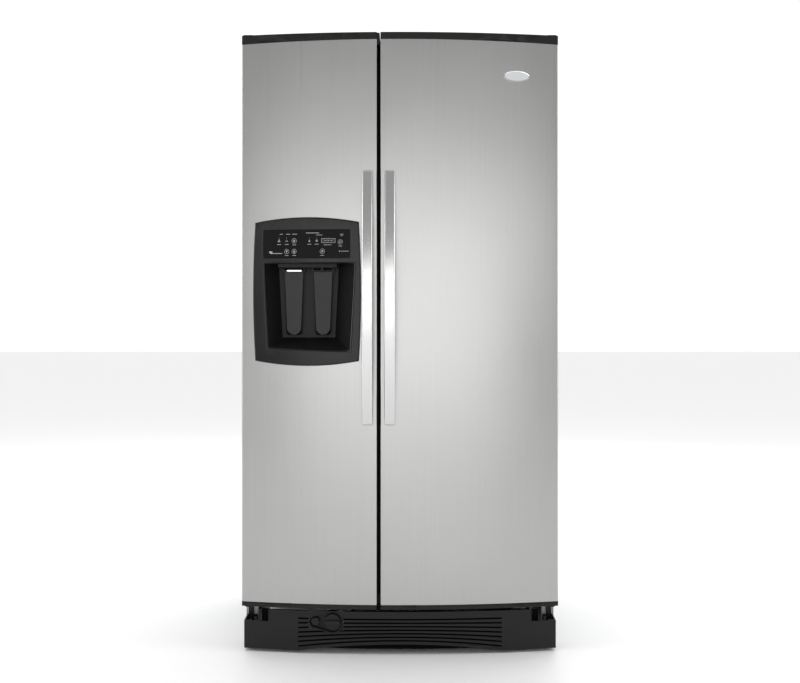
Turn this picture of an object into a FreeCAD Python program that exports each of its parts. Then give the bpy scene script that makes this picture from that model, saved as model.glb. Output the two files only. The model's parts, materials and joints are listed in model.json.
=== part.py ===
"""Side by side refrigerator: freezer on the left, fresh food on the right, with an ice and water dispenser.

Every length is in millimetres. The front faces -Y, +X is to the right of a person facing it, +Z is up.
The origin is on the floor, at the middle of the overall width and depth.
"""

import FreeCAD, Part
import math
import os

import Sketcher

doc = FreeCAD.newDocument("refrigerator")
sheet = doc.addObject("Spreadsheet::Sheet", "dim")


# ---------------------------------------------------------------- sizes


class Size:
    """A length of the model: the expression that a bound property follows, and its present value."""

    def __init__(self, text, value):
        self.text = text
        self.value = float(value)

    def __float__(self):
        return self.value

    def __neg__(self):
        return Size(f"(-1 * {self.text})", -self.value)

    def __add__(self, other):
        return self.joined("+", other, lambda a, b: a + b)

    def __sub__(self, other):
        return self.joined("-", other, lambda a, b: a - b)

    def __mul__(self, other):
        return self.joined("*", other, lambda a, b: a * b)

    def __truediv__(self, other):
        return self.joined("/", other, lambda a, b: a / b)

    def __radd__(self, other):
        return as_size(other) + self

    def __rsub__(self, other):
        return as_size(other) - self

    def __rmul__(self, other):
        return as_size(other) * self

    def joined(self, sign, other, sum_of):
        """This size and another one, joined by an arithmetic sign."""
        other = as_size(other)
        return Size(f"({self.text} {sign} {other.text})", sum_of(self.value, other.value))


def as_size(value):
    """A plain number, or a Size, as a Size."""
    return value if isinstance(value, Size) else Size(repr(float(value)), value)


def whole(size):
    """A size that is a count, as a whole number."""
    return round(float(size))


def root(size):
    """The square root of a size."""
    return Size(f"sqrt({size.text})", math.sqrt(size.value))


class Dimensions:
    """The driving dimensions, each one a cell of the sheet with an alias."""

    def __init__(self):
        self.row = 0

    def add(self, **cells):
        """Writes each named value to the sheet, and keeps it as a Size under that name."""
        for name, value in cells.items():
            self.row += 1
            sheet.set(f"A{self.row}", name)
            sheet.set(f"B{self.row}", str(value))
            sheet.setAlias(f"B{self.row}", name)
            setattr(self, name, Size(f"dim.{name}", value))


d = Dimensions()
d.add(  # the whole appliance
    span=909,  # across both doors
    depth=860,  # handle front to back panel
    cabinet_top=1766,
    door_drop=2,  # the doors end this far below the cabinet's top
    door_bottom=130,
    door_overhang=5,  # the doors reach this far past the cabinet on each side
    side_base=26,  # lower edge of the cabinet's side panels
)
d.add(  # doors
    freezer_width=389,
    door_gap=10,
    crown=48,  # how far the middle of the doors stands proud of their outer edges
    door_edge=62,  # thickness at the outer edge
    handle_reach=62,  # handle front, ahead of the crown
    skin=1.5,
    cap_height=26,
    cap_rim=0.8,  # the plastic caps stand this much outside the steel
    cap_arch=6,  # the top cap is this much lower at its outer end than in the middle
    gasket_space=12,
    gasket_gap=0.3,
    gasket_width=14,
    gasket_inset=20,
    gasket_inset_free=6,
    liner_wall=2.5,
    dike_depth=93,
    dike_wall=14,
    dike_gap=6,
    swing_gap=24,
    bin_wall=3,
    bin_inset=4,
    bin_height=120,
    bin_lift=20,
    bins=5,
)
d.add(  # hinges
    hinge_inset=16.5,  # pin axis from the door's outer edge
    hinge_setback=35,  # pin axis behind the door's front edge
    pin_radius=5,
    pin_length=18,
    pin_play=0.06,
    plate=3.5,
    plate_width=22,
    plate_reach=75,  # how far a hinge plate runs back over the cabinet
    bracket_drop=6,  # under the doors
    collar_radius=9,
    leg_trim=6,  # a bracket's leg is this much narrower, to clear the grille's side
    cover_wall=1.6,
    cover_width=28,
    cover_rise=9,
    screw_radius=4.5,
    screw_head=2.5,
    screw_pitch=22,
)
d.add(  # insulated box
    shell=1.2,
    side_foam=45,
    back_foam=55,
    top_foam=50,
    floor_foam=48,
    mullion=64,
    box_lift=8,  # the insulated box starts this far below the doors
    machine_top=300,
    machine_depth=228,
    back_sheet=1.5,
)
d.add(  # chassis
    rail_width=34,
    rail_height=60,
    rail_base=30,
    rail_wall=3,
    cross_height=22,
    cross_width=24,
    deck=3,
    riser_depth=28,
    foot_radius=16,
    foot_height=12,
    stud_radius=6,
    stud_play=0.3,
    stud_length=58,
    foot_setback=45,
    roller_radius=22,
    roller_width=20,
    roller_gap=1,
    axle_radius=4,
    axle_play=0.06,
    roller_setback=50,
    ear=5,
    ear_depth=24,
)
d.add(  # base grille
    grille_low=8,
    grille_arch=22,
    grille_top=122,
    grille_margin=2,
    grille_setback=6,
    grille_wall=3.5,
    grille_return=60,
    notch_width=71,
    notch_drop=34,
    louvre_margin=157.5,
    louvre_high=100,
    louvre_slot=4.6,
    louvre_step_end=13.3,
    louvre_step_mid=9.9,
    louvres=7,
)
d.add(  # water filter
    filter_inset=255.5,  # filter axis from the grille's left end
    filter_z=91,
    cap_radius=22,
    cap_length=18,
    grip_width=9,
    grip_height=8,
    ring_radius=29,
    ring_wall=2.5,
    cap_sink=1,  # cap and button lie this far behind the grille's face
    well_depth=16,
    eject_offset=49,  # eject button axis from the filter's
    eject_radius=12,
    eject_ring=16,
    eject_length=26,
    cartridge_radius=19.5,
    cartridge_length=210,
    housing_wall=3,
    housing_spare=5,
    lug_width=28,
    lug_depth=18,
    play=0.3,
)
d.add(  # dispenser
    dispenser_inset=189.5,  # dispenser middle from the door's outer edge
    dispenser_z=1030,
    dispenser_width=310,
    dispenser_height=422,
    corner_pull_x=6.5,
    corner_pull_z=14,
    bezel_proud=8,
    window_margin=31,
    window_drop=36,
    window_height=79,
    mouth_gap=16,  # between the window and the mouth
    mouth_height=242,
    mouth_margin=27,
    mouth_taper=12.5,  # each side of the mouth leans in this much on its way down
    back_taper=40,  # each side wall leans in this much on its way back
    floor_rise=29,
    recess_wall=2.5,
    recess_margin=5,  # between the recess and the door's back
    panel_drop=2,
    panel_wall=3,
    pocket_depth=6,
    key_radius=8,
    key_proud=0.8,
    key_length=12,
    board=1.6,
    board_gap=2.4,
    spout_block=10,
    spout_drop=8,
    spout_margin=3,
    chute_width=60,
    chute_space=28,  # the ice duct is this much narrower, front to back, than the door's edge
    chute_rise=85,
    chute_height=40,
    chute_wall=2,
    spout_radius=6,
)
d.add(  # paddles
    paddle_setback=16.5,  # pivot line ahead of the recess's back wall
    paddle_gap=30,
    paddle_taper=7,
    paddle_lift=9,
    paddle_wall=4,
    barrel_radius=4.5,
    pivot_radius=2.5,
    pivot_play=0.06,
    pivot_drop=8,
    pivot_ear=5,
    outlet_lead=26,  # the ice and water fall this far ahead of the pivot line
)
d.add(  # handles
    handle_low=652,
    handle_high=1372,
    handle_width=30,
    handle_offset=31.5,  # handle middle from the seam between the doors
    handle_tip=8,
    handle_wall=16,
    handle_foot=55,
    handle_sink=4,  # how far back its ends run before the door's curve trims them
)
d.add(  # fresh food side
    glass=4,
    shelves=4,
    shelf_rim=9,
    shelf_frame=14,
    shelf_setback=111,
    shelf_gap=26,
    shelf_space=45,  # over the upper drawer
    drawer_wall=3,
    drawer_face=14,
    drawer_setback=131,
    drawer_space=12,  # behind a drawer
    pull_inset=60,
    pull_drop=8,
    pull_height=18,
    pull_depth=9,
    drawer_low_height=190,
    drawer_gap=3,
    drawer_rise=45.2,  # upper drawer's floor over the lower drawer's lid
    drawer_high_height=170,
    slide_rail=12,
)
d.add(  # freezer side
    wire=3,
    wire_pitch=22,
    racks=4,
    rack_space=172,  # over the basket
    basket_height=215,
    cover_sheet=2.5,
    cover_drop=40,
    air_slot=7,
    air_slots=4,
    return_inset=40,
    outlet_drop=210,
    outlet_half=60,
    evaporator_space=70,
    evaporator_lift=118,
    evaporator_height=460,
    coil_radius=4,
    coil_rows=10,
    coil_inset=45,
    fin=1.2,
    fins=14,
    fin_depth=48,
    ice_bin_drop=372,
    ice_bin_height=170,
    ice_bin_gap=6,
    ice_bin_rear=20,
    ice_maker_drop=152,
    ice_maker_width=95,
    ice_maker_length=260,
    ice_maker_setback=186,
    ice_head_depth=35,
    ice_head_height=85,
    ice_cubes=8,
    mould_height=50,
    mould_margin=8,
    mould_wall=2,
)
d.add(  # machinery
    compressor_x=170,
    compressor_setback=126,
    compressor_radius=80,
    compressor_height=165,
    compressor_foot=14,
    fan_x=-120,
    fan_drop=135,
    fan_radius=72,
    fan_hub=20,
    fan_hub_length=20,
    fan_gap=5,
    blades=5,
    blade_chord=36,
    blade_wall=2,
    fan_setback=90,
    shroud_half=95,
    shroud_wall=3,
    shroud_lead=22,  # the shroud lies this far behind the fan's front
    spider=4,
    motor_radius=26,
    motor_length=40,
    shaft_radius=3,
    shaft_play=0.06,
    shaft_reach=18,
    pan_left=-300,
    pan_right=40,
    pan_height=32,
    pan_gap=28,
    condenser_radius=3,
    condenser_pitch=30,
    coil_lead=60,
    coil_margin=20,
    strip_wall=3,
    strip_height=26,
    vent_length=70,
    vent_height=6,
    vent_pitch_x=100,
    vent_pitch_z=22,
    vent_rows=7,
    gland_inset=249.5,
    gland_drop=60,
    gland_wall=3,
    gland_radius=5,
    gland_length=9,
)

# Levels and planes worked out from the driving dimensions.
door_left = -d.span / 2
door_right = d.span / 2
freezer_free = door_left + d.freezer_width
seam_x = freezer_free + d.door_gap / 2
fridge_free = seam_x + d.door_gap / 2
cab_left = door_left + d.door_overhang
cab_right = door_right - d.door_overhang
door_top = d.cabinet_top - d.door_drop

handle_y = -d.depth / 2
crown_y = handle_y + d.handle_reach
ahead_y = crown_y - 20  # cutting shapes start here, ahead of the doors' fronts
cut_length = d.crown + d.grille_return  # and run this far back
edge_y = crown_y + d.crown
door_y = edge_y + d.door_edge
cab_y = door_y + d.gasket_space
dike_y = door_y + d.dike_depth
lower_cap_top = d.door_bottom + d.cap_height / 2
upper_cap_low = door_top - d.cap_height
back_y = d.depth / 2
panel_y = back_y - d.back_sheet
step_y = back_y - d.machine_depth
deck_top = d.rail_base + d.deck
cross_top = d.rail_base + d.cross_height
fan_y = step_y + d.fan_setback
fan_z = d.machine_top - d.fan_drop



def arc_radius(half, rise):
    """The radius of an arc over a chord of twice half, which rises by rise."""
    return (half * half + rise * rise) / (2 * rise)


bow_radius = arc_radius(door_right, d.crown)
bow_y = crown_y + bow_radius


def bow_front(x, offset=0):
    """How far back the doors' curve, moved forward by offset, lies at a place across the front."""
    radius = bow_radius + offset
    return bow_y - root(radius * radius - x * x)



box_base = d.door_bottom - d.box_lift
liner_low = box_base + d.floor_foam
liner_high = d.cabinet_top - d.shell - d.top_foam
liner_back = panel_y - d.back_foam
hump_y = step_y - d.shell - d.floor_foam
hump_z = d.machine_top + d.shell + d.floor_foam
inside_low = liner_low + d.liner_wall
inside_high = liner_high - d.liner_wall
inside_back = liner_back - d.liner_wall
freezer_back = inside_back - d.evaporator_space
hump_face = hump_y - d.liner_wall
hump_shelf = hump_z + d.liner_wall

freezer_out = (cab_left + d.shell + d.side_foam, seam_x - d.mullion / 2)
fridge_out = (seam_x + d.mullion / 2, cab_right - d.shell - d.side_foam)
freezer_in = (freezer_out[0] + d.liner_wall, freezer_out[1] - d.liner_wall)
fridge_in = (fridge_out[0] + d.liner_wall, fridge_out[1] - d.liner_wall)

shelf_front = cab_y + d.shelf_setback
shelf_back = inside_back - d.shelf_gap
drawer_front = cab_y + d.drawer_setback
drawer_base = inside_low + d.play
lid_z = drawer_base + d.drawer_low_height + d.drawer_gap + d.shelf_frame
upper_drawer_base = lid_z + d.drawer_rise
ice_bin_base = inside_high - d.ice_bin_drop
ring_low = inside_low + d.dike_gap + d.dike_wall
ring_high = inside_high - d.dike_gap - d.dike_wall

pin_y = edge_y + d.hinge_setback
freezer_pin_x = door_left + d.hinge_inset
fridge_pin_x = door_right - d.hinge_inset

grille_half = cab_right - d.grille_margin
louvre_half = grille_half - d.louvre_margin
filter_x = d.filter_inset - grille_half
eject_x = filter_x - d.eject_offset
cap_front = bow_front(filter_x, -d.grille_setback) + d.cap_sink

dispenser_x = door_left + d.dispenser_inset
window_half = d.dispenser_width / 2 - d.window_margin
window_high = d.dispenser_z + d.dispenser_height / 2 - d.window_drop
window_low = window_high - d.window_height
pocket_back = bow_front(dispenser_x - window_half) + d.pocket_depth
mouth_half = d.dispenser_width / 2 - d.mouth_margin
mouth_high = window_low - d.mouth_gap
mouth_low = mouth_high - d.mouth_height
recess_back = door_y - d.recess_margin
recess_end = recess_back - d.recess_wall
back_half = mouth_half - d.back_taper
back_low = mouth_low + d.floor_rise
spout_low = mouth_high - d.spout_block
chute_top = mouth_high + d.chute_rise
chute_low = chute_top - d.chute_height
chute_depth = d.door_edge - d.chute_space
paddle_y = recess_end - d.paddle_setback
paddle_z = spout_low - d.pivot_drop
paddle_pitch = back_half - d.paddle_wall  # each paddle has half of the spout block
paddle_half = (paddle_pitch - d.paddle_gap) / 2
ice_x = dispenser_x - paddle_pitch / 2
water_x = dispenser_x + paddle_pitch / 2
outlet_y = paddle_y - d.outlet_lead


# ---------------------------------------------------------------- building blocks


def bind(item, prop, size):
    """Ties a property to the sheet."""
    item.setExpression(prop, as_size(size).text)


def seat(item, base):
    """Ties an object's place to the sheet."""
    for axis, size in zip("xyz", base):
        bind(item, f"Placement.Base.{axis}", size)
    return item


def box(name, low, high):
    """A block between two opposite corners."""
    item = doc.addObject("Part::Box", name)
    for prop, a, b in zip(("Length", "Width", "Height"), low, high):
        bind(item, prop, as_size(b) - a)
    return seat(item, low)


TURNS = {
    "x": FreeCAD.Rotation(FreeCAD.Vector(0, 1, 0), 90),
    "y": FreeCAD.Rotation(FreeCAD.Vector(1, 0, 0), -90),
    "z": FreeCAD.Rotation(),
}


def rod(name, base, radius, length, axis="z"):
    """A cylinder that starts at base and runs along +X, +Y or +Z."""
    item = doc.addObject("Part::Cylinder", name)
    item.Placement = FreeCAD.Placement(FreeCAD.Vector(), TURNS[axis])
    bind(item, "Radius", radius)
    bind(item, "Height", length)
    return seat(item, base)


def cut(name, base, *tools):
    """The base without the tools."""
    item = doc.addObject("Part::Cut", name)
    item.Base = base
    item.Tool = tools[0] if len(tools) == 1 else fuse(name + "_tools", *tools)
    return item


def fuse(name, *shapes):
    """Shapes joined into one."""
    item = doc.addObject("Part::MultiFuse", name)
    item.Shapes = list(shapes)
    return item


def common(name, *shapes):
    """What shapes share."""
    item = doc.addObject("Part::MultiCommon", name)
    item.Shapes = list(shapes)
    return item


def group(name, *shapes):
    """Separate solids kept together in one node."""
    item = doc.addObject("Part::Compound", name)
    item.Links = list(shapes)
    return item


def feature(name, shape):
    """A Part::Feature that holds a shape made with Part's own functions."""
    item = doc.addObject("Part::Feature", name)
    item.Shape = shape
    return item


def tub(name, low, high, wall):
    """A thin-walled block with an open top."""
    inner_low = [as_size(v) + wall for v in low]
    inner_high = [high[0] - wall, high[1] - wall, high[2] + wall]
    return cut(name, box(name + "_outer", low, high), box(name + "_inner", inner_low, inner_high))


def bow(name, offset):
    """The upright cylinder that the doors' fronts lie on, moved forward by offset."""
    return rod(name, (0, bow_y, 0), bow_radius + offset, d.cabinet_top)


def between_bows(name, shape, inner, outer):
    """The layer of a shape that lies between two offsets of the doors' curve."""
    layer = common(name + "_layer", shape, bow(name + "_front", outer))
    return cut(name, layer, bow(name + "_rear", inner))


def origin_plane(body, role):
    """One of a body's own origin planes."""
    return next(item for item in body.Origin.OriginFeatures if item.Role == role)


def outline(body, name, role, corners, arcs=None):
    """A closed, fully bound sketch. arcs holds {side: (radius, its middle point)}; the other sides are straight."""
    arcs = arcs or {}
    sketch = body.newObject("Sketcher::SketchObject", name)
    sketch.AttachmentSupport = [(origin_plane(body, role), "")]
    sketch.MapMode = "FlatFace"
    points = [FreeCAD.Vector(float(as_size(u)), float(as_size(v)), 0) for u, v in corners]
    count = len(points)
    for side in range(count):
        start, end = points[side], points[(side + 1) % count]
        if side in arcs:
            middle = FreeCAD.Vector(*(float(as_size(v)) for v in arcs[side][1]), 0)
            sketch.addGeometry(Part.Arc(start, middle, end))
        else:
            sketch.addGeometry(Part.LineSegment(start, end))

    def end_at(side, point):
        """Which end of a side lies at a point."""
        return min((1, 2), key=lambda end: sketch.getPoint(side, end).distanceToPoint(point))

    for corner, point in enumerate(points):
        before = (corner - 1) % count
        first = (corner, end_at(corner, point))
        sketch.addConstraint(Sketcher.Constraint("Coincident", before, end_at(before, point), *first))
        for axis, place, size in zip("xy", (point.x, point.y), corners[corner]):
            kind = "Distance" + axis.upper()
            index = sketch.addConstraint(Sketcher.Constraint(kind, -1, 1, *first, place))
            label = f"{axis}{corner}"
            sketch.renameConstraint(index, label)
            bind(sketch, f"Constraints.{label}", size)
    for side, (radius, _) in arcs.items():
        index = sketch.addConstraint(Sketcher.Constraint("Radius", side, float(as_size(radius))))
        sketch.renameConstraint(index, f"radius{side}")
        bind(sketch, f"Constraints.radius{side}", radius)
    return sketch


def padded(name, role, corners, length, base=(0, 0, 0), arcs=None):
    """A PartDesign body: an outline padded evenly to both sides of its plane."""
    body = doc.addObject("PartDesign::Body", name)
    sketch = outline(body, name + "_sketch", role, corners, arcs)
    pad = body.newObject("PartDesign::Pad", name + "_pad")
    pad.Profile = sketch
    pad.Midplane = True
    bind(pad, "Length", length)
    seat(body, base)
    return body


def turned(name, corners, base, axis="z"):
    """A PartDesign body: an outline of (radius, height) corners turned about the height axis."""
    body = doc.addObject("PartDesign::Body", name)
    sketch = outline(body, name + "_sketch", "XZ_Plane", corners)
    turn = body.newObject("PartDesign::Revolution", name + "_turn")
    turn.Profile = sketch
    turn.ReferenceAxis = (sketch, ["V_Axis"])
    turn.Angle = 360
    body.Placement = FreeCAD.Placement(FreeCAD.Vector(), TURNS[axis])
    return seat(body, base)


# ---------------------------------------------------------------- cabinet


def machine_notch(name, forward=0, above=0):
    """The stepped-in space at the rear foot of the box, for the compressor and fans."""
    return box(
        name,
        (cab_left - 1, step_y - forward, -1),
        (cab_right + 1, back_y + 1, d.machine_top + above),
    )


def cabinet_shell():
    """The painted steel wrapper: front frame with two openings, sides, top, stepped floor and side skirts."""
    full = box("shell_full", (cab_left, cab_y, box_base - d.shell), (cab_right, panel_y, d.cabinet_top))
    outside = cut("shell_outside", full, machine_notch("shell_notch"))
    inside = foam_space("shell_inside", d.back_sheet)
    openings = [
        box(f"{name}_opening", (xs[0], cab_y - 1, inside_low), (xs[1], cab_y + d.shell + 1, inside_high))
        for name, xs in (("freezer", freezer_in), ("fridge", fridge_in))
    ]
    wrapper = cut("shell_wrapper", outside, inside, *openings)
    skirts = []
    for name, x0, x1 in (("left", cab_left, cab_left + d.shell), ("right", cab_right - d.shell, cab_right)):
        top = d.machine_top + d.shell
        low = box(f"skirt_{name}_low", (x0, cab_y, d.side_base), (x1, panel_y, box_base))
        rear = box(f"skirt_{name}_rear", (x0, step_y - d.shell, box_base), (x1, panel_y, top))
        skirts += [low, rear]
    return fuse("cabinet_shell", wrapper, *skirts)


def foam_space(name, beyond=0):
    """The space inside the wrapper, which the foam fills around the liners."""
    block = box(
        name + "_block",
        (cab_left + d.shell, cab_y + d.shell, box_base),
        (cab_right - d.shell, panel_y + beyond, d.cabinet_top - d.shell),
    )
    return cut(name, block, machine_notch(name + "_notch", d.shell, d.shell))


def liner_block(name, xs, shrink=0):
    """The outer shape of a liner, or with shrink its inner one: a block with a hump over the machinery."""
    low_y = cab_y + d.shell - shrink
    block = box(
        name + "_block",
        (xs[0] + shrink, low_y, liner_low + shrink),
        (xs[1] - shrink, liner_back - shrink, liner_high - shrink),
    )
    hump = box(
        name + "_hump",
        (xs[0] - 1, hump_y - shrink, liner_low - 1),
        (xs[1] + 1, liner_back + 1, hump_z + shrink),
    )
    return cut(name, block, hump)


def liner(name, xs):
    """A moulded plastic liner, open at the front."""
    outer = liner_block(name + "_out", xs)
    inner = liner_block(name + "_in", xs, d.liner_wall)
    return cut(name, outer, inner)


def cabinet_foam():
    """The foam between the wrapper and both liners."""
    blocks = [liner_block(f"foam_{name}", xs) for name, xs in (("left", freezer_out), ("right", fridge_out))]
    return cut("cabinet_foam", foam_space("foam_all"), *blocks)


def back_panel():
    """The steel sheet that closes the foam at the back."""
    return box("back_panel", (cab_left, panel_y, d.machine_top), (cab_right, back_y, d.cabinet_top))


def machine_cover():
    """The vented sheet over the machine space, with the sleeve that the supply lead comes through."""
    low = deck_top + 4
    x, z = cab_left + d.gland_inset, d.machine_top - d.gland_drop
    start = back_y - d.gland_length
    sleeve_radius = d.gland_radius + d.gland_wall
    plain = box("cover_sheet", (cab_left, panel_y, low), (cab_right, back_y, d.machine_top))
    columns = int((cab_right / d.vent_pitch_x).value) - 1
    slots = []
    for column in range(-columns, columns + 1):
        for row in range(whole(d.vent_rows)):
            vent_x, vent_z = column * d.vent_pitch_x, low + 2 * d.vent_pitch_z + row * d.vent_pitch_z
            near_x = abs((vent_x - x).value) < (d.vent_length / 2 + 2 * sleeve_radius).value
            if near_x and abs((vent_z - z).value) < (2 * sleeve_radius).value:
                continue
            slots.append(
                box(
                    f"vent_{column + columns}_{row}",
                    (vent_x - d.vent_length / 2, panel_y - 1, vent_z),
                    (vent_x + d.vent_length / 2, back_y + 1, vent_z + d.vent_height),
                )
            )
    sleeve = rod("gland_sleeve", (x, start, z), sleeve_radius, d.gland_length, "y")
    bore = rod("gland_bore", (x, start - 1, z), d.gland_radius, d.gland_length + 2, "y")
    return cut("machine_cover", fuse("cover_body", cut("cover_vented", plain, *slots), sleeve), bore)


# ---------------------------------------------------------------- chassis


def rail_xs(side):
    """Left and right faces of the chassis rail on one side: -1 left, 1 right."""
    inner = cab_right - d.shell
    if side > 0:
        return inner - d.rail_width, inner
    return -inner, d.rail_width - inner


def foot_centre(side):
    """Axis of a levelling foot, across and deep."""
    left, right = rail_xs(side)
    return (left + right) / 2, cab_y + d.foot_setback


def roller_centre(side):
    """Middle of a rear roller, across and deep."""
    left, right = rail_xs(side)
    return (left + right) / 2, panel_y - d.roller_setback


def base_frame():
    """Two box rails with roller ears, joined by cross bars and the deck that carries the machinery."""
    parts, bores = [], []
    rail_top = d.rail_base + d.rail_height
    rail_front = cab_y + d.shell
    wall = d.rail_wall
    for side, name in ((-1, "left"), (1, "right")):
        left, right = rail_xs(side)
        tube = box(f"rail_{name}", (left, rail_front, d.rail_base), (right, panel_y, rail_top))
        inside = ((left + wall, cab_y, d.rail_base + wall), (right - wall, panel_y + 1, rail_top - wall))
        parts.append(cut(f"rail_{name}_tube", tube, box(f"rail_{name}_inside", *inside)))
        riser_top = box_base - d.shell
        riser = ((left, rail_front, rail_top), (right, rail_front + d.riser_depth, riser_top))
        parts.append(box(f"riser_{name}", *riser))
        x, y = foot_centre(side)
        bores.append(rod(f"stud_hole_{name}", (x, y, d.rail_base - 1), d.stud_radius + d.stud_play, wall + 2))
        ears, axle_hole, well = roller_seat(side, name)
        parts += ears
        bores += [axle_hole, well]
    left, right = rail_xs(-1)[1], rail_xs(1)[0]
    for name, y in (("front", rail_front), ("middle", step_y)):
        parts.append(box(f"cross_{name}", (left, y, d.rail_base), (right, y + d.cross_width, cross_top)))
    parts.append(box("deck_plate", (left, step_y, d.rail_base), (right, panel_y, deck_top)))
    return cut("base_frame", fuse("frame_body", *parts), *bores)


def roller_seat(side, name):
    """A rear roller's two ears, with the hole for its axle and the well in the rail over it."""
    x, y = roller_centre(side)
    half = d.roller_width / 2 + d.roller_gap
    well = d.roller_radius + 3
    low, high = d.roller_radius - d.axle_radius - 6, d.rail_base + d.rail_wall
    ears = []
    for ear, x0, x1 in (("a", x - half - d.ear, x - half), ("b", x + half, x + half + d.ear)):
        depth = d.ear_depth / 2
        ears.append(box(f"ear_{name}_{ear}", (x0, y - depth, low), (x1, y + depth, high)))
    axle_start, axle_run = x - half - d.ear - 1, 2 * (half + d.ear + 1)
    hole_radius = d.axle_radius + d.axle_play
    hole = rod(f"axle_hole_{name}", (axle_start, y, d.roller_radius), hole_radius, axle_run, "x")
    well_box = box(f"well_{name}", (x - half, y - well, -1), (x + half, y + well, d.roller_radius + well))
    return ears, hole, well_box


def levelling_foot(side, name):
    """A threaded stud with a round foot that stands on the floor."""
    x, y = foot_centre(side)
    top = d.foot_height + d.stud_length
    corners = [
        (0, 0),
        (d.foot_radius, 0),
        (d.foot_radius, d.foot_height * 0.75),
        (d.stud_radius + 4, d.foot_height),
        (d.stud_radius, d.foot_height),
        (d.stud_radius, top),
        (0, top),
    ]
    return turned(name, corners, (x, y, 0))


def rear_roller(side, name):
    """A wheel with rounded rims and its own axle stubs."""
    x, y = roller_centre(side)
    half, rim = d.roller_width / 2, 1.5
    reach = half + d.ear
    corners = [
        (0, -reach),
        (d.axle_radius, -reach),
        (d.axle_radius, -half),
        (d.roller_radius - rim, -half),
        (d.roller_radius, rim - half),
        (d.roller_radius, half - rim),
        (d.roller_radius - rim, half),
        (d.axle_radius, half),
        (d.axle_radius, reach),
        (0, reach),
    ]
    return turned(name, corners, (x, y, d.roller_radius), "x")


# ---------------------------------------------------------------- hinges


HINGE_SIDES = (("left", freezer_pin_x), ("right", fridge_pin_x))
hinge_top = d.cabinet_top + d.plate


def top_hinges():
    """Plates screwed to the cabinet's top, each with a pin that points down into a door."""
    low, half = d.cabinet_top, d.plate_width / 2
    parts = []
    for side, x in HINGE_SIDES:
        arm = box(f"hinge_arm_{side}", (x - half, pin_y, low), (x + half, cab_y + d.plate_reach, hinge_top))
        nose = rod(f"hinge_nose_{side}", (x, pin_y, low), half, d.plate)
        pin_end = door_top - d.pin_length
        pin = rod(f"hinge_pin_{side}", (x, pin_y, pin_end), d.pin_radius, hinge_top - pin_end)
        parts.append(fuse(f"top_hinge_{side}", arm, nose, pin))
    return group("top_hinges", *parts)


def bottom_hinges():
    """Brackets on the front of the chassis, each with a collar and a pin that points up into a door."""
    parts = []
    top = d.door_bottom - d.bracket_drop
    low = top - d.plate
    half = d.plate_width / 2
    for side, x in HINGE_SIDES:
        x0, x1 = (x - half + d.leg_trim, x + half) if side == "left" else (x - half, x + half - d.leg_trim)
        arm = box(f"foot_arm_{side}", (x - half, pin_y, low), (x + half, cab_y, top))
        nose = rod(f"foot_nose_{side}", (x, pin_y, low), half, d.plate)
        leg = box(f"foot_leg_{side}", (x0, cab_y - d.plate, d.rail_base + 5), (x1, cab_y, top))
        collar = rod(f"foot_collar_{side}", (x, pin_y, top), d.collar_radius, d.bracket_drop - d.play)
        pin = rod(f"foot_pin_{side}", (x, pin_y, top), d.pin_radius, d.bracket_drop + d.pin_length)
        parts.append(fuse(f"bottom_hinge_{side}", arm, nose, leg, collar, pin))
    return group("bottom_hinges", *parts)


def hinge_covers():
    """Low covers over the top hinges, sloped down towards the front."""
    low, wall, half = d.cabinet_top, d.cover_wall, d.cover_width / 2
    front, back, bend = pin_y - half, cab_y + d.plate_reach + 10, cab_y + 10
    crest, brow = hinge_top + d.cover_rise, hinge_top + wall + 0.6

    def profile(inset, base):
        """The cover's side outline, set in by a wall."""
        return [
            (front + inset, base),
            (back - inset, base),
            (back - inset, crest - inset),
            (bend + inset, crest - inset),
            (front + inset, brow - inset),
        ]

    parts = []
    for side, x in HINGE_SIDES:
        outer = padded(f"cover_outer_{side}", "YZ_Plane", profile(0, low), 2 * half, (x, 0, 0))
        inner = padded(f"cover_inner_{side}", "YZ_Plane", profile(wall, low - 5), 2 * (half - wall), (x, 0, 0))
        parts.append(cut(f"hinge_cover_{side}", outer, inner))
    return group("hinge_covers", *parts)


def hinge_screws():
    """Round-head screws: three on each top plate and two on each lower bracket."""
    parts = []
    radius, head = d.screw_radius, d.screw_head
    for side, x in HINGE_SIDES:
        for number in range(3):
            y = cab_y + 14 + number * d.screw_pitch
            parts.append(rod(f"screw_top_{side}_{number}", (x, y, hinge_top), radius, head))
        for number in range(2):
            z = d.rail_base + 18 + number * d.screw_pitch
            y = cab_y - d.plate - head
            parts.append(rod(f"screw_low_{side}_{number}", (x, y, z), radius, head, "y"))
    return group("hinge_screws", *parts)


# ---------------------------------------------------------------- base grille and water filter


def grille_slots():
    """The louvre slots: level at the top, and arched up in the middle towards the bottom."""
    slots = []
    lower, upper = -d.louvre_slot / 2, d.louvre_slot / 2
    for row in range(whole(d.louvres)):
        end_z = d.louvre_high - row * d.louvre_step_end
        mid_z = d.louvre_high - row * d.louvre_step_mid
        corners = [
            (-louvre_half, end_z + lower),
            (louvre_half, end_z + lower),
            (louvre_half, end_z + upper),
            (-louvre_half, end_z + upper),
        ]
        arcs = {}
        if row:
            radius = arc_radius(louvre_half, mid_z - end_z)
            arcs = {0: (radius, (0, mid_z + lower)), 2: (radius, (0, mid_z + upper))}
        slots.append(padded(f"slot_{row}", "XZ_Plane", corners, 2 * cut_length, (0, crown_y, 0), arcs))
    return slots


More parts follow.
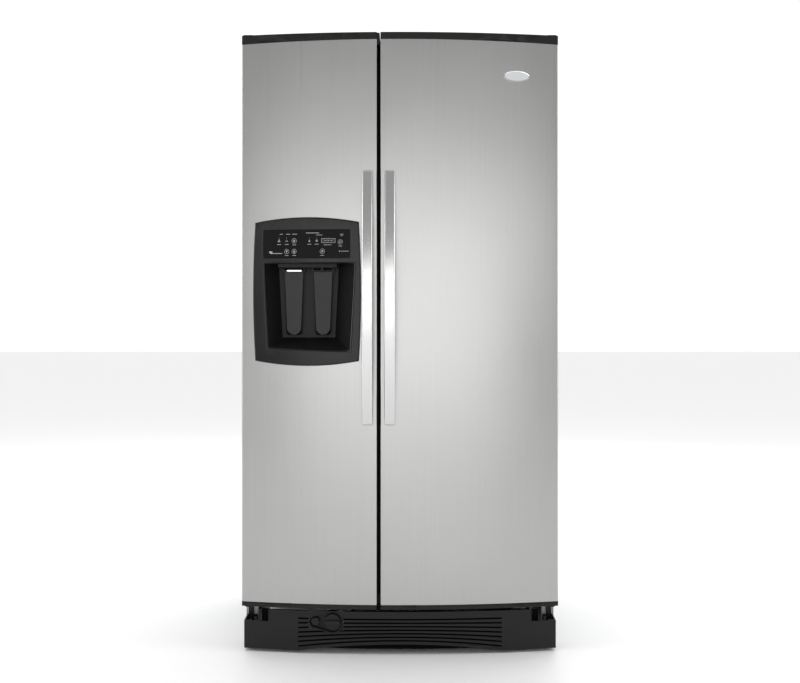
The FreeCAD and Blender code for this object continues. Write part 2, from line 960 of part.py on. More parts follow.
def filter_boss(name, grow=0):
    """The teardrop outline round the filter cap and the eject button."""
    big_radius, small_radius = d.ring_radius + grow, d.eject_ring + grow
    big = rod(name + "_big", (filter_x, ahead_y, d.filter_z), big_radius, cut_length, "y")
    small = rod(name + "_small", (eject_x, ahead_y, d.filter_z), small_radius, cut_length, "y")
    lean = (d.ring_radius - d.eject_ring) / d.eject_offset
    rise = root(1 - lean * lean)
    corners = [
        (eject_x - small_radius * lean, d.filter_z - small_radius * rise),
        (filter_x - big_radius * lean, d.filter_z - big_radius * rise),
        (filter_x - big_radius * lean, d.filter_z + big_radius * rise),
        (eject_x - small_radius * lean, d.filter_z + small_radius * rise),
    ]
    bridge = padded(name + "_bridge", "XZ_Plane", corners, cut_length, (0, ahead_y + cut_length / 2, 0))
    return fuse(name, big, small, bridge)


def base_grille():
    """The curved toe grille: louvres, notches for the lower hinges, and a teardrop well for the filter cap."""
    half, low, high = grille_half, d.grille_low, d.grille_top
    arch = {1: (arc_radius(louvre_half, d.grille_arch), (0, low + d.grille_arch))}
    notch_z = high - d.notch_drop
    corners = [
        (-half, low),
        (-louvre_half, low),
        (louvre_half, low),
        (half, low),
        (half, notch_z),
        (half - d.notch_width, notch_z),
        (half - d.notch_width, high),
        (d.notch_width - half, high),
        (d.notch_width - half, notch_z),
        (-half, notch_z),
    ]
    front = padded("grille_front", "XZ_Plane", corners, 2 * cut_length, (0, crown_y, 0), arch)
    face = between_bows("grille_face", front, -d.grille_setback - d.grille_wall, -d.grille_setback)
    side_front = edge_y + d.grille_setback
    sides = [
        box(f"grille_side_{name}", (x0, side_front, low), (x1, cab_y - d.play, notch_z))
        for name, x0, x1 in (("left", -half, d.grille_wall - half), ("right", half - d.grille_wall, half))
    ]
    slots = cut("slots_clear", fuse("slots_all", *grille_slots()), filter_boss("well_rim", d.ring_wall))
    hole = filter_boss("well_hole", d.ring_wall / 2)
    opened = cut("grille_open", fuse("grille_walls", face, *sides), slots, hole)
    return fuse("base_grille", opened, filter_well())


def filter_well():
    """The teardrop cup that is sunk into the grille, with holes in its floor for the cap and the button."""
    rear = -d.grille_setback - d.well_depth
    block = between_bows("well_block", filter_boss("well_outline", d.ring_wall), rear, 1 - d.grille_setback)
    space = common("well_hollow", filter_boss("well_inside"), bow("well_front", d.crown))
    space = cut("well_space", space, bow("well_back", rear + d.ring_wall))
    holes = [
        rod(f"{name}_hole", (x, ahead_y, d.filter_z), radius + d.play, cut_length, "y")
        for name, x, radius in (("cap", filter_x, d.cap_radius), ("eject", eject_x, d.eject_radius))
    ]
    return cut("filter_well", block, space, *holes)


def filter_cap():
    """The round cap with a grip bar, which turns a quarter and pulls the cartridge out."""
    disc = rod("cap_disc", (filter_x, cap_front, d.filter_z), d.cap_radius, d.cap_length, "y")
    reach, half = d.cap_radius - 2, d.grip_width / 2
    grip = box(
        "cap_grip",
        (filter_x - reach, cap_front - d.grip_height, d.filter_z - half),
        (filter_x + reach, cap_front, d.filter_z + half),
    )
    return fuse("filter_cap", disc, grip)


def filter_cartridge():
    """The water filter cartridge: a plain cylinder with a narrower neck behind."""
    radius, length = d.cartridge_radius, d.cartridge_length
    chamfer, taper, neck = 2, 6, 18
    corners = [
        (0, d.play),
        (radius - chamfer, d.play),
        (radius, d.play + chamfer),
        (radius, length - neck - taper),
        (radius - taper, length - neck),
        (radius - taper, length),
        (0, length),
    ]
    return turned("filter_cartridge", corners, (filter_x, cap_front + d.cap_length, d.filter_z), "y")


def filter_housing():
    """The sleeve that the cartridge slides into, closed at the rear, with lugs up to the cabinet's floor."""
    start = cab_y + d.shell + 2
    end = cap_front + d.cap_length + d.cartridge_length + d.housing_spare + d.housing_wall
    bore = d.cartridge_radius + d.play
    outer = rod("housing_outer", (filter_x, start, d.filter_z), bore + d.housing_wall, end - start, "y")
    space = rod("housing_inner", (filter_x, start - 1, d.filter_z), bore, end - start - d.housing_wall + 1, "y")
    half, low = d.lug_width / 2, d.filter_z + d.lug_width / 4
    lugs = [
        box(f"housing_lug_{n}", (filter_x - half, y, low), (filter_x + half, y + d.lug_depth, box_base - d.shell))
        for n, y in enumerate((start + d.lug_depth, end - 2 * d.lug_depth))
    ]
    return cut("filter_housing", fuse("housing_body", outer, *lugs), space)


def eject_button():
    """The button beside the filter cap that frees the cartridge."""
    start, chamfer = bow_front(eject_x, -d.grille_setback) + d.cap_sink, 1.5
    corners = [
        (0, 0),
        (d.eject_radius - chamfer, 0),
        (d.eject_radius, chamfer),
        (d.eject_radius, d.eject_length),
        (0, d.eject_length),
    ]
    return turned("eject_button", corners, (eject_x, start, d.filter_z), "y")


# ---------------------------------------------------------------- doors


def door_xs(side):
    """Left and right edges of a door."""
    return (door_left, freezer_free) if side == "freezer" else (fridge_free, door_right)


def door_block(name, side, inset=0, low=d.door_bottom, high=door_top, front=0, back=door_y):
    """A door-shaped block, curved in front: inset from the edges, between two heights, offset in front."""
    left, right = door_xs(side)
    block = box(name + "_block", (left + inset, ahead_y, low), (right - inset, back, high))
    return common(name, block, bow(name + "_bow", front))


def arch_cutter(name):
    """All below the top cap's lower edge, which is lower at the outer edges than in the middle."""
    half = door_right + 10
    low_z = door_top - d.cap_height
    corners = [(-half, d.door_bottom - 1), (half, d.door_bottom - 1), (half, low_z), (-half, low_z)]
    arcs = {2: (arc_radius(half, d.cap_arch), (0, low_z + d.cap_arch))}
    return padded(name, "XZ_Plane", corners, 4 * (d.crown + d.door_edge), (0, crown_y, 0), arcs)


def pin_bores(name, side):
    """The sockets in a door for its two hinge pins."""
    x = freezer_pin_x if side == "freezer" else fridge_pin_x
    radius = d.pin_radius + d.pin_play
    depth = d.pin_length + 1
    high = rod(name + "_high", (x, pin_y, door_top - depth), radius, depth + 1)
    low = rod(name + "_low", (x, pin_y, d.door_bottom - 1), radius, depth + 1)
    return high, low


def door_skin(side):
    """The stainless wrap: a curved front with returned sides, arched under the top cap."""
    name = f"{side}_door_skin"
    outer = door_block(name + "_outer", side, low=lower_cap_top)
    inner = door_block(name + "_inner", side, d.skin, lower_cap_top - 1, door_top + 1, -d.skin, door_y + 1)
    wrap, arch = cut(name + "_wrap", outer, inner), arch_cutter(name + "_arch")
    if side == "fridge":
        return common(name, wrap, arch)
    arched = common(name + "_arched", wrap, arch)
    return cut(name, arched, recess_block(name + "_recess"), window_block(name + "_window"))


def door_caps(side):
    """The moulded caps that close a door's top and bottom."""
    name = f"{side}_door_caps"
    top = door_block(name + "_top", side, low=door_top - 2 * d.cap_height, front=d.cap_rim)
    top = cut(name + "_top_arched", top, arch_cutter(name + "_arch"))
    bottom = door_block(name + "_bottom", side, high=lower_cap_top, front=d.cap_rim)
    high, low = pin_bores(name + "_bores", side)
    return group(name, cut(name + "_upper", top, high), cut(name + "_lower", bottom, low))


def door_foam(side):
    """The foam core, between the skin, the caps and the liner."""
    name = f"{side}_door_foam"
    rear = door_y - d.liner_wall
    core = door_block(name + "_core", side, d.skin, lower_cap_top, front=-d.skin, back=rear)
    shaped = common(name + "_shaped", core, arch_cutter(name + "_arch"))
    voids = list(pin_bores(name + "_bores", side))
    if side == "freezer":
        voids += [recess_block(name + "_recess"), window_block(name + "_window"), *chute_blocks(name + "_duct")]
    return cut(name, shaped, *voids)


def dike_xs(side):
    """Outer faces of the raised ring on a door's inside: tight at the hinge, set back where the door swings out."""
    if side == "freezer":
        return freezer_in[0] + d.dike_gap, freezer_in[1] - d.swing_gap
    return fridge_in[0] + d.swing_gap, fridge_in[1] - d.dike_gap


def door_liner(side):
    """The plastic inner face of a door, with the raised ring that carries the bins."""
    name = f"{side}_door_liner"
    left, right = door_xs(side)
    rear = door_y - d.liner_wall
    flat = box(name + "_flat", (left + d.skin, rear, lower_cap_top), (right - d.skin, door_y, upper_cap_low))
    x0, x1 = dike_xs(side)
    z0, z1 = inside_low + d.dike_gap, inside_high - d.dike_gap
    outer = box(name + "_ring_out", (x0, rear, z0), (x1, dike_y, z1))
    inner = box(name + "_ring_in", (x0 + d.dike_wall, door_y, ring_low), (x1 - d.dike_wall, dike_y + 1, ring_high))
    ring = cut(name + "_ring", outer, inner)
    if side == "freezer":
        return cut(name, fuse(name + "_body", flat, ring), chute_blocks(name + "_duct")[1])
    return fuse(name, flat, ring)


def door_gasket(side):
    """The magnetic seal round a door's inside."""
    name = f"{side}_door_gasket"
    left, right = door_xs(side)
    near_left = d.gasket_inset if side == "freezer" else d.gasket_inset_free
    near_right = d.gasket_inset_free if side == "freezer" else d.gasket_inset
    low = (left + near_left, door_y, d.door_bottom + d.gasket_inset)
    high = (right - near_right, cab_y - d.gasket_gap, door_top - d.gasket_inset)
    width = d.gasket_width
    inner_low = (low[0] + width, door_y - 1, low[2] + width)
    inner_high = (high[0] - width, cab_y, high[2] - width)
    return cut(name, box(name + "_outer", low, high), box(name + "_inner", inner_low, inner_high))


def door_bins(side):
    """Open-topped bins that hang between the sides of a door's raised ring, clear of the ice duct."""
    name = f"{side}_door_bins"
    left, right = dike_xs(side)
    left, right = left + d.dike_wall, right - d.dike_wall
    lowest = ring_low + d.bin_lift
    pitch = (ring_high - lowest) / d.bins
    bins = []
    for number in range(whole(d.bins)):
        low = lowest + number * pitch
        high = low + d.bin_height
        if side == "freezer" and float(low) < float(chute_top) and float(high) > float(chute_low):
            continue
        bins.append(tub(f"{name}_{number}", (left, door_y, low), (right, dike_y - d.bin_inset, high), d.bin_wall))
    return group(name, *bins)


def handle(side):
    """A bow handle: its tips lie on the door and its middle stands clear for the fingers."""
    name = f"{side}_handle"
    x = seam_x - d.handle_offset if side == "freezer" else seam_x + d.handle_offset
    outer_x = x + d.handle_width / 2 if float(x) > 0 else x - d.handle_width / 2
    middle = (d.handle_low + d.handle_high) / 2
    half = (d.handle_high - d.handle_low) / 2
    inner_half = half - d.handle_foot
    seat_y = bow_front(outer_x) + d.handle_sink
    tip_y = crown_y - d.handle_tip
    inner_y = handle_y + d.handle_wall
    corners = [
        (seat_y, middle - half),
        (tip_y, middle - half),
        (tip_y, middle + half),
        (seat_y, middle + half),
        (seat_y, middle + inner_half),
        (seat_y, middle - inner_half),
    ]
    arcs = {
        1: (arc_radius(half, tip_y - handle_y), (handle_y, middle)),
        4: (arc_radius(inner_half, seat_y - inner_y), (inner_y, middle)),
    }
    bar = padded(name + "_bar", "YZ_Plane", corners, d.handle_width, (x, 0, 0), arcs)
    return cut(name, bar, bow(name + "_seat", 0))


# ---------------------------------------------------------------- dispenser


def frustum(name, grow, front, back):
    """The tapered space of the recess between two depths, grown outwards by a wall."""
    mouth_y, end_y = float(bow_front(dispenser_x)), float(recess_end)
    x, top, grow = float(dispenser_x), float(mouth_high), float(grow)
    lean = float(d.mouth_taper / d.mouth_height)
    near = (float(mouth_half), float(mouth_low))
    far = (float(back_half), float(back_low))

    def ring(y):
        """The corners at a depth, by straight interpolation between the mouth and the back wall."""
        share = (y - mouth_y) / (end_y - mouth_y)
        half, low = (a + (b - a) * share for a, b in zip(near, far))
        up = half + grow + lean * grow
        down = half + grow - lean * (top - low + grow)
        points = [(x - down, low - grow), (x + down, low - grow), (x + up, top + grow), (x - up, top + grow)]
        return [FreeCAD.Vector(px, y, pz) for px, pz in points]

    return feature(name, prismoid(ring(float(front)), ring(float(back))))


def prismoid(near, far):
    """A solid between two four-sided rings of points, with flat faces."""
    rings = [near, far]
    rings += [[near[i], near[(i + 1) % 4], far[(i + 1) % 4], far[i]] for i in range(4)]
    faces = [Part.Face(Part.makePolygon(ring + ring[:1])) for ring in rings]
    solid = Part.Solid(Part.Shell(faces))
    return solid if solid.Volume > 0 else solid.reversed()


def recess_block(name):
    """The outer shape of the recess, from ahead of the door to its back wall."""
    return frustum(name, d.recess_wall, ahead_y, recess_back)


def window_block(name):
    """The pocket behind the control panel."""
    low = (dispenser_x - window_half, ahead_y, window_low)
    return box(name, low, (dispenser_x + window_half, pocket_back, window_high))


def chute_blocks(name, wall=0):
    """The ice duct: down into the recess, and back through the door's liner. A wall gives its inner faces."""
    left, right = ice_x - d.chute_width / 2 + wall, ice_x + d.chute_width / 2 - wall
    front, rear = outlet_y - chute_depth / 2 + wall, outlet_y + chute_depth / 2 - wall
    top = chute_top - wall
    fall = box(name + "_fall", (left, front, mouth_high + d.recess_wall - wall), (right, rear, top))
    return fall, box(name + "_run", (left, front, chute_low + wall), (right, door_y + wall, top))


def dispenser_outline(name):
    """The bowed outline of the dispenser's frame, as a thick block."""
    x, z = dispenser_x, d.dispenser_z
    half_x, half_z = d.dispenser_width / 2, d.dispenser_height / 2
    corner_x, corner_z = half_x - d.corner_pull_x, half_z - d.corner_pull_z
    flat_radius = arc_radius(corner_x, d.corner_pull_z)
    tall_radius = arc_radius(corner_z, d.corner_pull_x)
    corners = [
        (x - corner_x, z - corner_z),
        (x + corner_x, z - corner_z),
        (x + corner_x, z + corner_z),
        (x - corner_x, z + corner_z),
    ]
    arcs = {
        0: (flat_radius, (x, z - half_z)),
        1: (tall_radius, (x + half_x, z)),
        2: (flat_radius, (x, z + half_z)),
        3: (tall_radius, (x - half_x, z)),
    }
    return padded(name, "XZ_Plane", corners, 2 * cut_length, (0, crown_y, 0), arcs)


def dispenser_bezel():
    """The glossy black frame round the controls and the recess."""
    block = between_bows("bezel_plate", dispenser_outline("bezel_outline"), 0, d.bezel_proud)
    mouth = frustum("bezel_mouth", 0, ahead_y, door_y)
    return cut("dispenser_bezel", block, mouth, window_block("bezel_window"))


def ice_slot(name, low, high, wall=0):
    """The ice's way through the recess's top, between two heights. A wall gives its inner faces."""
    half_x, half_y = d.chute_width / 2 - wall, chute_depth / 2 - wall
    return box(name, (ice_x - half_x, outlet_y - half_y, low), (ice_x + half_x, outlet_y + half_y, high))


def dispenser_recess():
    """The tapered well for a glass, with a sloped floor."""
    shell = cut("recess_shell", recess_block("recess_outer"), frustum("recess_inner", 0, ahead_y - 1, recess_end))
    trimmed = common("recess_trimmed", shell, bow("recess_bow", 0))
    low, high = mouth_high - 1, mouth_high + d.recess_wall + 1
    spout = rod("recess_spout", (water_x, outlet_y, low), d.spout_radius, high - low)
    return cut("dispenser_recess", trimmed, ice_slot("recess_slot", low, high), spout)


def dispenser_spouts():
    """The block over the paddles: ice duct, water spout and the ears that the paddles hang in."""
    wall, neck_top = d.chute_wall, mouth_high + d.recess_wall
    front, tip = outlet_y - chute_depth / 2 - d.spout_margin, spout_low - d.spout_drop
    block_low = (dispenser_x - paddle_pitch, front, spout_low)
    solids = [
        *chute_blocks("chute_outer"),
        ice_slot("chute_neck", spout_low, neck_top),
        box("spout_block", block_low, (dispenser_x + paddle_pitch, recess_end, mouth_high)),
        rod("water_spout", (water_x, outlet_y, tip), d.spout_radius, neck_top - tip),
    ]
    voids = [
        *chute_blocks("chute_inner", wall),
        ice_slot("chute_throat", spout_low - 1, neck_top + 1, wall),
        rod("spout_bore", (water_x, outlet_y, tip - 1), d.spout_radius - wall, neck_top - tip),
    ]
    reach, half = paddle_half + d.play, d.barrel_radius + 1.5
    bore = d.pivot_radius + d.pivot_play
    for name, x in (("ice", ice_x), ("water", water_x)):
        for hand, near in (("left", x - reach - d.pivot_ear), ("right", x + reach)):
            low, high = (near, paddle_y - half, paddle_z - half), (near + d.pivot_ear, paddle_y + half, spout_low + 1)
            solids.append(box(f"ear_{name}_{hand}", low, high))
        start = x - reach - d.pivot_ear - 1
        voids.append(rod(f"paddle_bore_{name}", (start, paddle_y, paddle_z), bore, 2 * (x - start), "x"))
    return cut("dispenser_spouts", fuse("spouts_solid", *solids), *voids)


def paddle(name, x):
    """A lever that a glass pushes: a tapered plate with a round foot, under a barrel with pivot stubs."""
    high, low = paddle_half, paddle_half - d.paddle_taper
    length, sag = paddle_z - back_low - d.paddle_lift, low * 0.8
    corners = [(-low, sag - length), (low, sag - length), (high, 0), (-high, 0)]
    arcs = {0: (arc_radius(low, sag), (0, -length))}
    blade = padded(name + "_plate", "XZ_Plane", corners, d.paddle_wall, (x, paddle_y, paddle_z), arcs)
    start, reach = (x - high, paddle_y, paddle_z), high + d.pivot_ear
    barrel = rod(name + "_barrel", start, d.barrel_radius, 2 * high, "x")
    stub = rod(name + "_stub", (x - reach, paddle_y, paddle_z), d.pivot_radius, 2 * reach, "x")
    return fuse(name, blade, barrel, stub)


KEYS = {  # shares of the window's half width, from its middle, and of its height, from its foot
    "dispense_key": (-0.285, 0.608),
    "light_key": (-0.46, 0.228),
    "lock_key": (-0.285, 0.228),
    "fast_ice_key": (0.363, 0.228),
    "filter_reset_key": (0.774, 0.557),
}


def key_column(name, grow=0):
    """A round column through the doors' curve, where a key lies."""
    across, up = KEYS[name]
    x, z = dispenser_x + across * window_half, window_low + up * d.window_height
    return rod(name + "_column", (x, ahead_y, z), d.key_radius + grow, cut_length, "y")


def control_panel():
    """The curved panel over the controls, and the circuit board behind its keys."""
    front = d.bezel_proud - d.panel_drop
    cover = between_bows("panel_sheet", window_block("panel_window"), front - d.panel_wall, front)
    board_y = pocket_back - d.board_gap - d.board
    low = (dispenser_x - window_half, board_y, window_low)
    board = box("key_board", low, (dispenser_x + window_half, board_y + d.board, window_high))
    return group("control_panel", cut("panel_holed", cover, *(key_column(name, d.play) for name in KEYS)), board)


def key(name):
    """A round key that travels into the panel."""
    front = d.bezel_proud - d.panel_drop + d.key_proud
    return between_bows(name, key_column(name), front - d.key_length, front)


# ---------------------------------------------------------------- fresh food side


def shelf_rows():
    """Upper faces of the shelves in the fresh food side, evenly spaced from over the drawers."""
    lowest = upper_drawer_base + d.drawer_high_height + d.shelf_space
    return [lowest + number * (inside_high - lowest) / d.shelves for number in range(whole(d.shelves))]


def glass_sheet(name, z, back):
    """A glass sheet that lies in a moulded rim."""
    left, right = fridge_in
    rim = d.shelf_rim
    return box(name, (left + rim, shelf_front + rim, z - d.glass), (right - rim, back - rim, z))


def shelf_glass():
    """Glass sheets of the shelves and of the lid over the lower drawer."""
    sheets = [glass_sheet(f"glass_{n}", z, shelf_back) for n, z in enumerate(shelf_rows())]
    return group("shelf_glass", *sheets, glass_sheet("glass_lid", lid_z, hump_face))


def frame_ring(name, z, back):
    """A moulded rim round a glass sheet, with a lip under it, held between the liner's sides."""
    left, right = fridge_in
    rim, low = d.shelf_rim, z - d.shelf_frame
    outer = box(name + "_outer", (left, shelf_front, low), (right, back, z))
    seat_low = (left + rim, shelf_front + rim, z - d.glass)
    glass_seat = box(name + "_seat", seat_low, (right - rim, back - rim, z + 1))
    way_low = (left + 2 * rim, shelf_front + 2 * rim, low - 1)
    return cut(name, outer, glass_seat, box(name + "_through", way_low, (right - 2 * rim, back - 2 * rim, z + 1)))


def shelf_frames():
    """Rims of the shelves and drawer lid, and the rails under the upper drawer."""
    parts = [frame_ring(f"shelf_frame_{n}", z, shelf_back) for n, z in enumerate(shelf_rows())]
    parts.append(frame_ring("lid_frame", lid_z, hump_face))
    left, right = fridge_in
    rail, top = d.slide_rail, upper_drawer_base - d.play
    for name, a, b in (("left", left, left + rail), ("right", right - rail, right)):
        parts.append(box(f"drawer_rail_{name}", (a, shelf_front + rail, top - rail), (b, shelf_back, top)))
    return group("shelf_frames", *parts)


def drawer(name, xs, low, height, back):
    """A clear drawer with a thicker front that has a finger pull."""
    left, right = xs[0] + d.drawer_gap, xs[1] - d.drawer_gap
    high, face_back = low + height, drawer_front + d.drawer_face
    body = tub(name + "_tub", (left, face_back, low), (right, back - d.drawer_space, high), d.drawer_wall)
    face = box(name + "_front", (left, drawer_front, low), (right, face_back, high))
    pull_low = (left + d.pull_inset, drawer_front - 1, high - d.pull_drop - d.pull_height)
    pull = box(name + "_pull", pull_low, (right - d.pull_inset, drawer_front + d.pull_depth, high - d.pull_drop))
    return cut(name, fuse(name + "_body", body, face), pull)


# ---------------------------------------------------------------- freezer side


def evaporator_cover():
    """The moulded panel over the evaporator, with return slots at its foot and the fan's outlet higher up."""
    left, right = freezer_in
    high, wall = inside_high - d.cover_drop, d.cover_sheet
    panel = box("evap_sheet", (left, freezer_back, hump_shelf), (right, freezer_back + wall, high))
    ledge = box("evap_ledge", (left, freezer_back, high), (right, inside_back, high + wall))
    middle, half = (left + right) / 2, (right - left) / 2
    rows = [("return", hump_shelf + d.air_slot * 2, half - d.return_inset)]
    rows.append(("outlet", ice_bin_base - d.outlet_drop, d.outlet_half))
    slots = []
    for name, start, reach in rows:
        for number in range(whole(d.air_slots)):
            z = start + number * 2 * d.air_slot
            low = (middle - reach, freezer_back - 1, z)
            slots.append(box(f"{name}_slot_{number}", low, (middle + reach, freezer_back + wall + 1, z + d.air_slot)))
    return fuse("evaporator_cover", cut("evap_vented", panel, *slots), ledge)


def serpentine(x0, x1, y, z0, rows, pitch, radius):
    """A tube that runs to and fro along X between x0 and x1, stepping up by pitch, with round returns."""
    turn = pitch / 2
    edges, z = [], z0
    for row in range(rows):
        a, b = (x0, x1) if row % 2 == 0 else (x1, x0)
        edges.append(Part.LineSegment(FreeCAD.Vector(a, y, z), FreeCAD.Vector(b, y, z)).toShape())
        if row < rows - 1:
            bulge = turn if b > a else -turn
            arc = Part.Arc(
                FreeCAD.Vector(b, y, z),
                FreeCAD.Vector(b + bulge, y, z + turn),
                FreeCAD.Vector(b, y, z + pitch),
            )
            edges.append(arc.toShape())
        z += pitch
    start = FreeCAD.Vector(x0, y, z0)
    profile = Part.Wire([Part.Circle(start, FreeCAD.Vector(1, 0, 0), radius).toShape()])
    return Part.Wire(edges).makePipeShell([profile], True, False)


def evaporator_coil():
    """A finned coil in the space behind the freezer's rear panel, with end plates against the liner."""
    left, right = (float(x) for x in (freezer_in[0] + d.coil_inset, freezer_in[1] - d.coil_inset))
    low, height = float(hump_shelf + d.evaporator_lift), float(d.evaporator_height)
    half = float(d.fin_depth) / 2
    middle_y = float(freezer_back) + 1.5 * half
    rows, inset = whole(d.coil_rows), float(d.coil_radius) * 4
    pitch = (height - 2 * inset) / (rows - 1)
    coil = serpentine(left, right, middle_y, low + inset, rows, pitch, float(d.coil_radius))
    fins, count, wall = [], whole(d.fins), float(d.fin)
    for number in range(count):
        x = left + wall + number * (right - left - 2 * wall) / (count - 1)
        reach = float(inside_back) if number in (0, count - 1) else middle_y + half
        start = FreeCAD.Vector(x - wall / 2, middle_y - half, low)
        fins.append(Part.makeBox(wall, reach - middle_y + half, height, start))
    return feature("evaporator_coil", coil.fuse(fins).removeSplitter())


def wire_shelf(height):
    """A welded wire rack that spans the freezer: bars of thick wire, and thin wires from front to back."""
    x0, x1 = (float(x) for x in freezer_in)
    front, back = float(shelf_front), float(freezer_back)
    thick, thin = float(d.wire), float(d.wire) * 0.6
    z = float(height)

    def bar(start, end, radius):
        """One straight wire."""
        run = end.sub(start)
        return Part.makeCylinder(radius, run.Length, start, run)

    at = FreeCAD.Vector
    rows = (front + thick, (front + back) / 2, back - thick)
    wires = [bar(at(x0, y, z), at(x1, y, z), thick) for y in rows]
    count = int((x1 - x0) // float(d.wire_pitch))
    for number in range(1, count):
        x = x0 + number * (x1 - x0) / count
        wires.append(bar(at(x, front + thick, z + thick), at(x, back - thick, z + thick), thin))
    return wires[0].fuse(wires[1:])


def freezer_shelves():
    """Wire racks across the freezer, evenly spaced between the basket and the ice bin."""
    lowest = drawer_base + d.basket_height + d.rack_space
    highest = ice_bin_base - d.play - d.wire * 1.6
    gaps = whole(d.racks) - 1
    racks = [wire_shelf(lowest + number * (highest - lowest) / gaps) for number in range(gaps + 1)]
    return feature("freezer_shelves", Part.makeCompound(racks))


def ice_maker():
    """The mould with its control head, hung from the freezer's left wall."""
    left, low, front = freezer_in[0], inside_high - d.ice_maker_drop, cab_y + d.ice_maker_setback
    right, back, top = left + d.ice_maker_width, front + d.ice_maker_length, low + d.mould_height
    margin, wall = d.mould_margin, d.mould_wall
    mould = box("ice_mould", (left, front, low), (right, back, top))
    tray_low = (left + margin, front + margin, low + margin)
    tray = box("ice_tray", tray_low, (right - margin, back - margin, top + 1))
    pitch = (back - front - 2 * margin) / d.ice_cubes
    walls = []
    for number in range(1, whole(d.ice_cubes)):
        y = front + margin + number * pitch
        wall_low, wall_high = (left + margin, y, low + margin), (right - margin, y + wall, top - margin)
        walls.append(box(f"ice_wall_{number}", wall_low, wall_high))
    head_low = (left, front - d.ice_head_depth, low - margin)
    head = box("ice_head", head_low, (right, front, low + d.ice_head_height))
    return fuse("ice_maker", cut("ice_mould_open", mould, tray), head, *walls)


def ice_bin():
    """The store under the ice maker, which stands on the top rack."""
    left, right = freezer_in[0] + d.ice_bin_gap, freezer_in[1] - d.ice_bin_gap
    front, back = shelf_front + d.ice_bin_gap, freezer_back - d.ice_bin_rear
    return tub("ice_bin", (left, front, ice_bin_base), (right, back, ice_bin_base + d.ice_bin_height), d.drawer_wall)


# ---------------------------------------------------------------- machinery


def compressor():
    """The hermetic compressor: a domed can on feet."""
    radius, height = d.compressor_radius, d.compressor_height
    low, y = d.compressor_foot, back_y - d.compressor_setback
    corners = [
        (0, low - 2),
        (radius * 0.8, low - 2),
        (radius, low * 2),
        (radius, height * 0.75),
        (radius * 0.5, height),
        (0, height),
    ]
    can = turned("compressor_can", corners, (d.compressor_x, y, deck_top))
    feet = []
    for name, x in (("left", d.compressor_x - radius * 0.7), ("right", d.compressor_x + radius * 0.7)):
        foot_low, foot_high = (x - low, y - radius * 0.9, deck_top), (x + low, y + radius * 0.9, deck_top + low)
        feet.append(box(f"compressor_foot_{name}", foot_low, foot_high))
    return fuse("compressor", can, *feet)


def drain_pan():
    """The shallow pan on the deck that defrost water runs into."""
    low = (d.pan_left, step_y + d.pan_gap, deck_top)
    return tub("drain_pan", low, (d.pan_right, panel_y - d.pan_gap, deck_top + d.pan_height), d.chute_wall)


def condenser_fan_motor():
    """The fan's shroud plate, hung from the machine space's ceiling, with the motor on its spider."""
    x, z, half, arm = d.fan_x, fan_z, d.shroud_half, d.spider
    y = fan_y + d.shroud_lead
    rear = y + d.shroud_wall
    plate = box("shroud_plate", (x - half, y, z - half), (x + half, rear, d.machine_top))
    hole = rod("shroud_hole", (x, y - 1, z), d.fan_radius + d.fan_gap, d.shroud_wall + 2, "y")
    arms = [
        box("spider_flat", (x - half, rear, z - arm), (x + half, rear + arm, z + arm)),
        box("spider_tall", (x - arm, rear, z - half), (x + arm, rear + arm, z + half)),
    ]
    motor = rod("motor_can", (x, rear, z), d.motor_radius, d.motor_length, "y")
    bore = rod("motor_bore", (x, rear - 1, z), d.shaft_radius + d.shaft_play, d.motor_length / 2, "y")
    return cut("condenser_fan_motor", fuse("motor_body", cut("shroud_holed", plate, hole), motor, *arms), bore)


def condenser_fan():
    """Five twisted blades on a hub, with the shaft that enters the motor."""
    up, start = FreeCAD.Vector(0, 0, 1), FreeCAD.Vector()
    reach, wall, chord, twist = float(d.fan_radius), float(d.blade_wall), float(d.blade_chord), 28
    hub_radius, hub_length = float(d.fan_hub), float(d.fan_hub_length)
    hub = Part.makeCylinder(hub_radius, hub_length)
    shaft = Part.makeCylinder(float(d.shaft_radius), float(d.shroud_lead + d.shaft_reach))
    blade = Part.makeBox(reach, chord, wall, FreeCAD.Vector(hub_radius * 0.75, -chord / 2, 0))
    blade.rotate(start, FreeCAD.Vector(1, 0, 0), twist)
    blade.translate(up * (hub_length / 2))
    blade = blade.common(Part.makeCylinder(reach, 2 * hub_length, up * (-hub_length / 2)))
    blades = []
    for number in range(whole(d.blades)):
        turned_blade = blade.copy()
        turned_blade.rotate(start, up, 360 / whole(d.blades) * number)
        blades.append(turned_blade)
    item = feature("condenser_fan", hub.fuse(blades + [shaft]))
    item.Placement = FreeCAD.Placement(start, TURNS["y"])
    return seat(item, (d.fan_x, fan_y, fan_z))


def condenser_coil():
    """The coil under the box: passes of tube on two carrier strips that stand on the cross bars."""
    left, right = float(filter_x + d.coil_lead), float(rail_xs(1)[0] - d.coil_margin)
    front, back = float(cab_y + d.coil_lead), float(step_y - d.coil_margin)
    radius, pitch = float(d.condenser_radius), float(d.condenser_pitch)
    strip, strip_height = float(d.strip_wall), float(d.strip_height)
    tube = serpentine(left, right - pitch / 2, 0, 0, int((back - front) // pitch), pitch, radius)
    tube.rotate(FreeCAD.Vector(), FreeCAD.Vector(1, 0, 0), -90)
    tube.translate(FreeCAD.Vector(0, front + float(d.coil_margin), float(cross_top) + strip_height * 0.6))
    start, end = float(cab_y + d.shell), float(step_y + d.cross_width)
    strips = []
    for x in (left + pitch, right - 2 * pitch):
        strips.append(Part.makeBox(strip, end - start, strip_height, FreeCAD.Vector(x, start, float(cross_top))))
    return feature("condenser_coil", tube.fuse(strips).removeSplitter())


# ---------------------------------------------------------------- the parts list


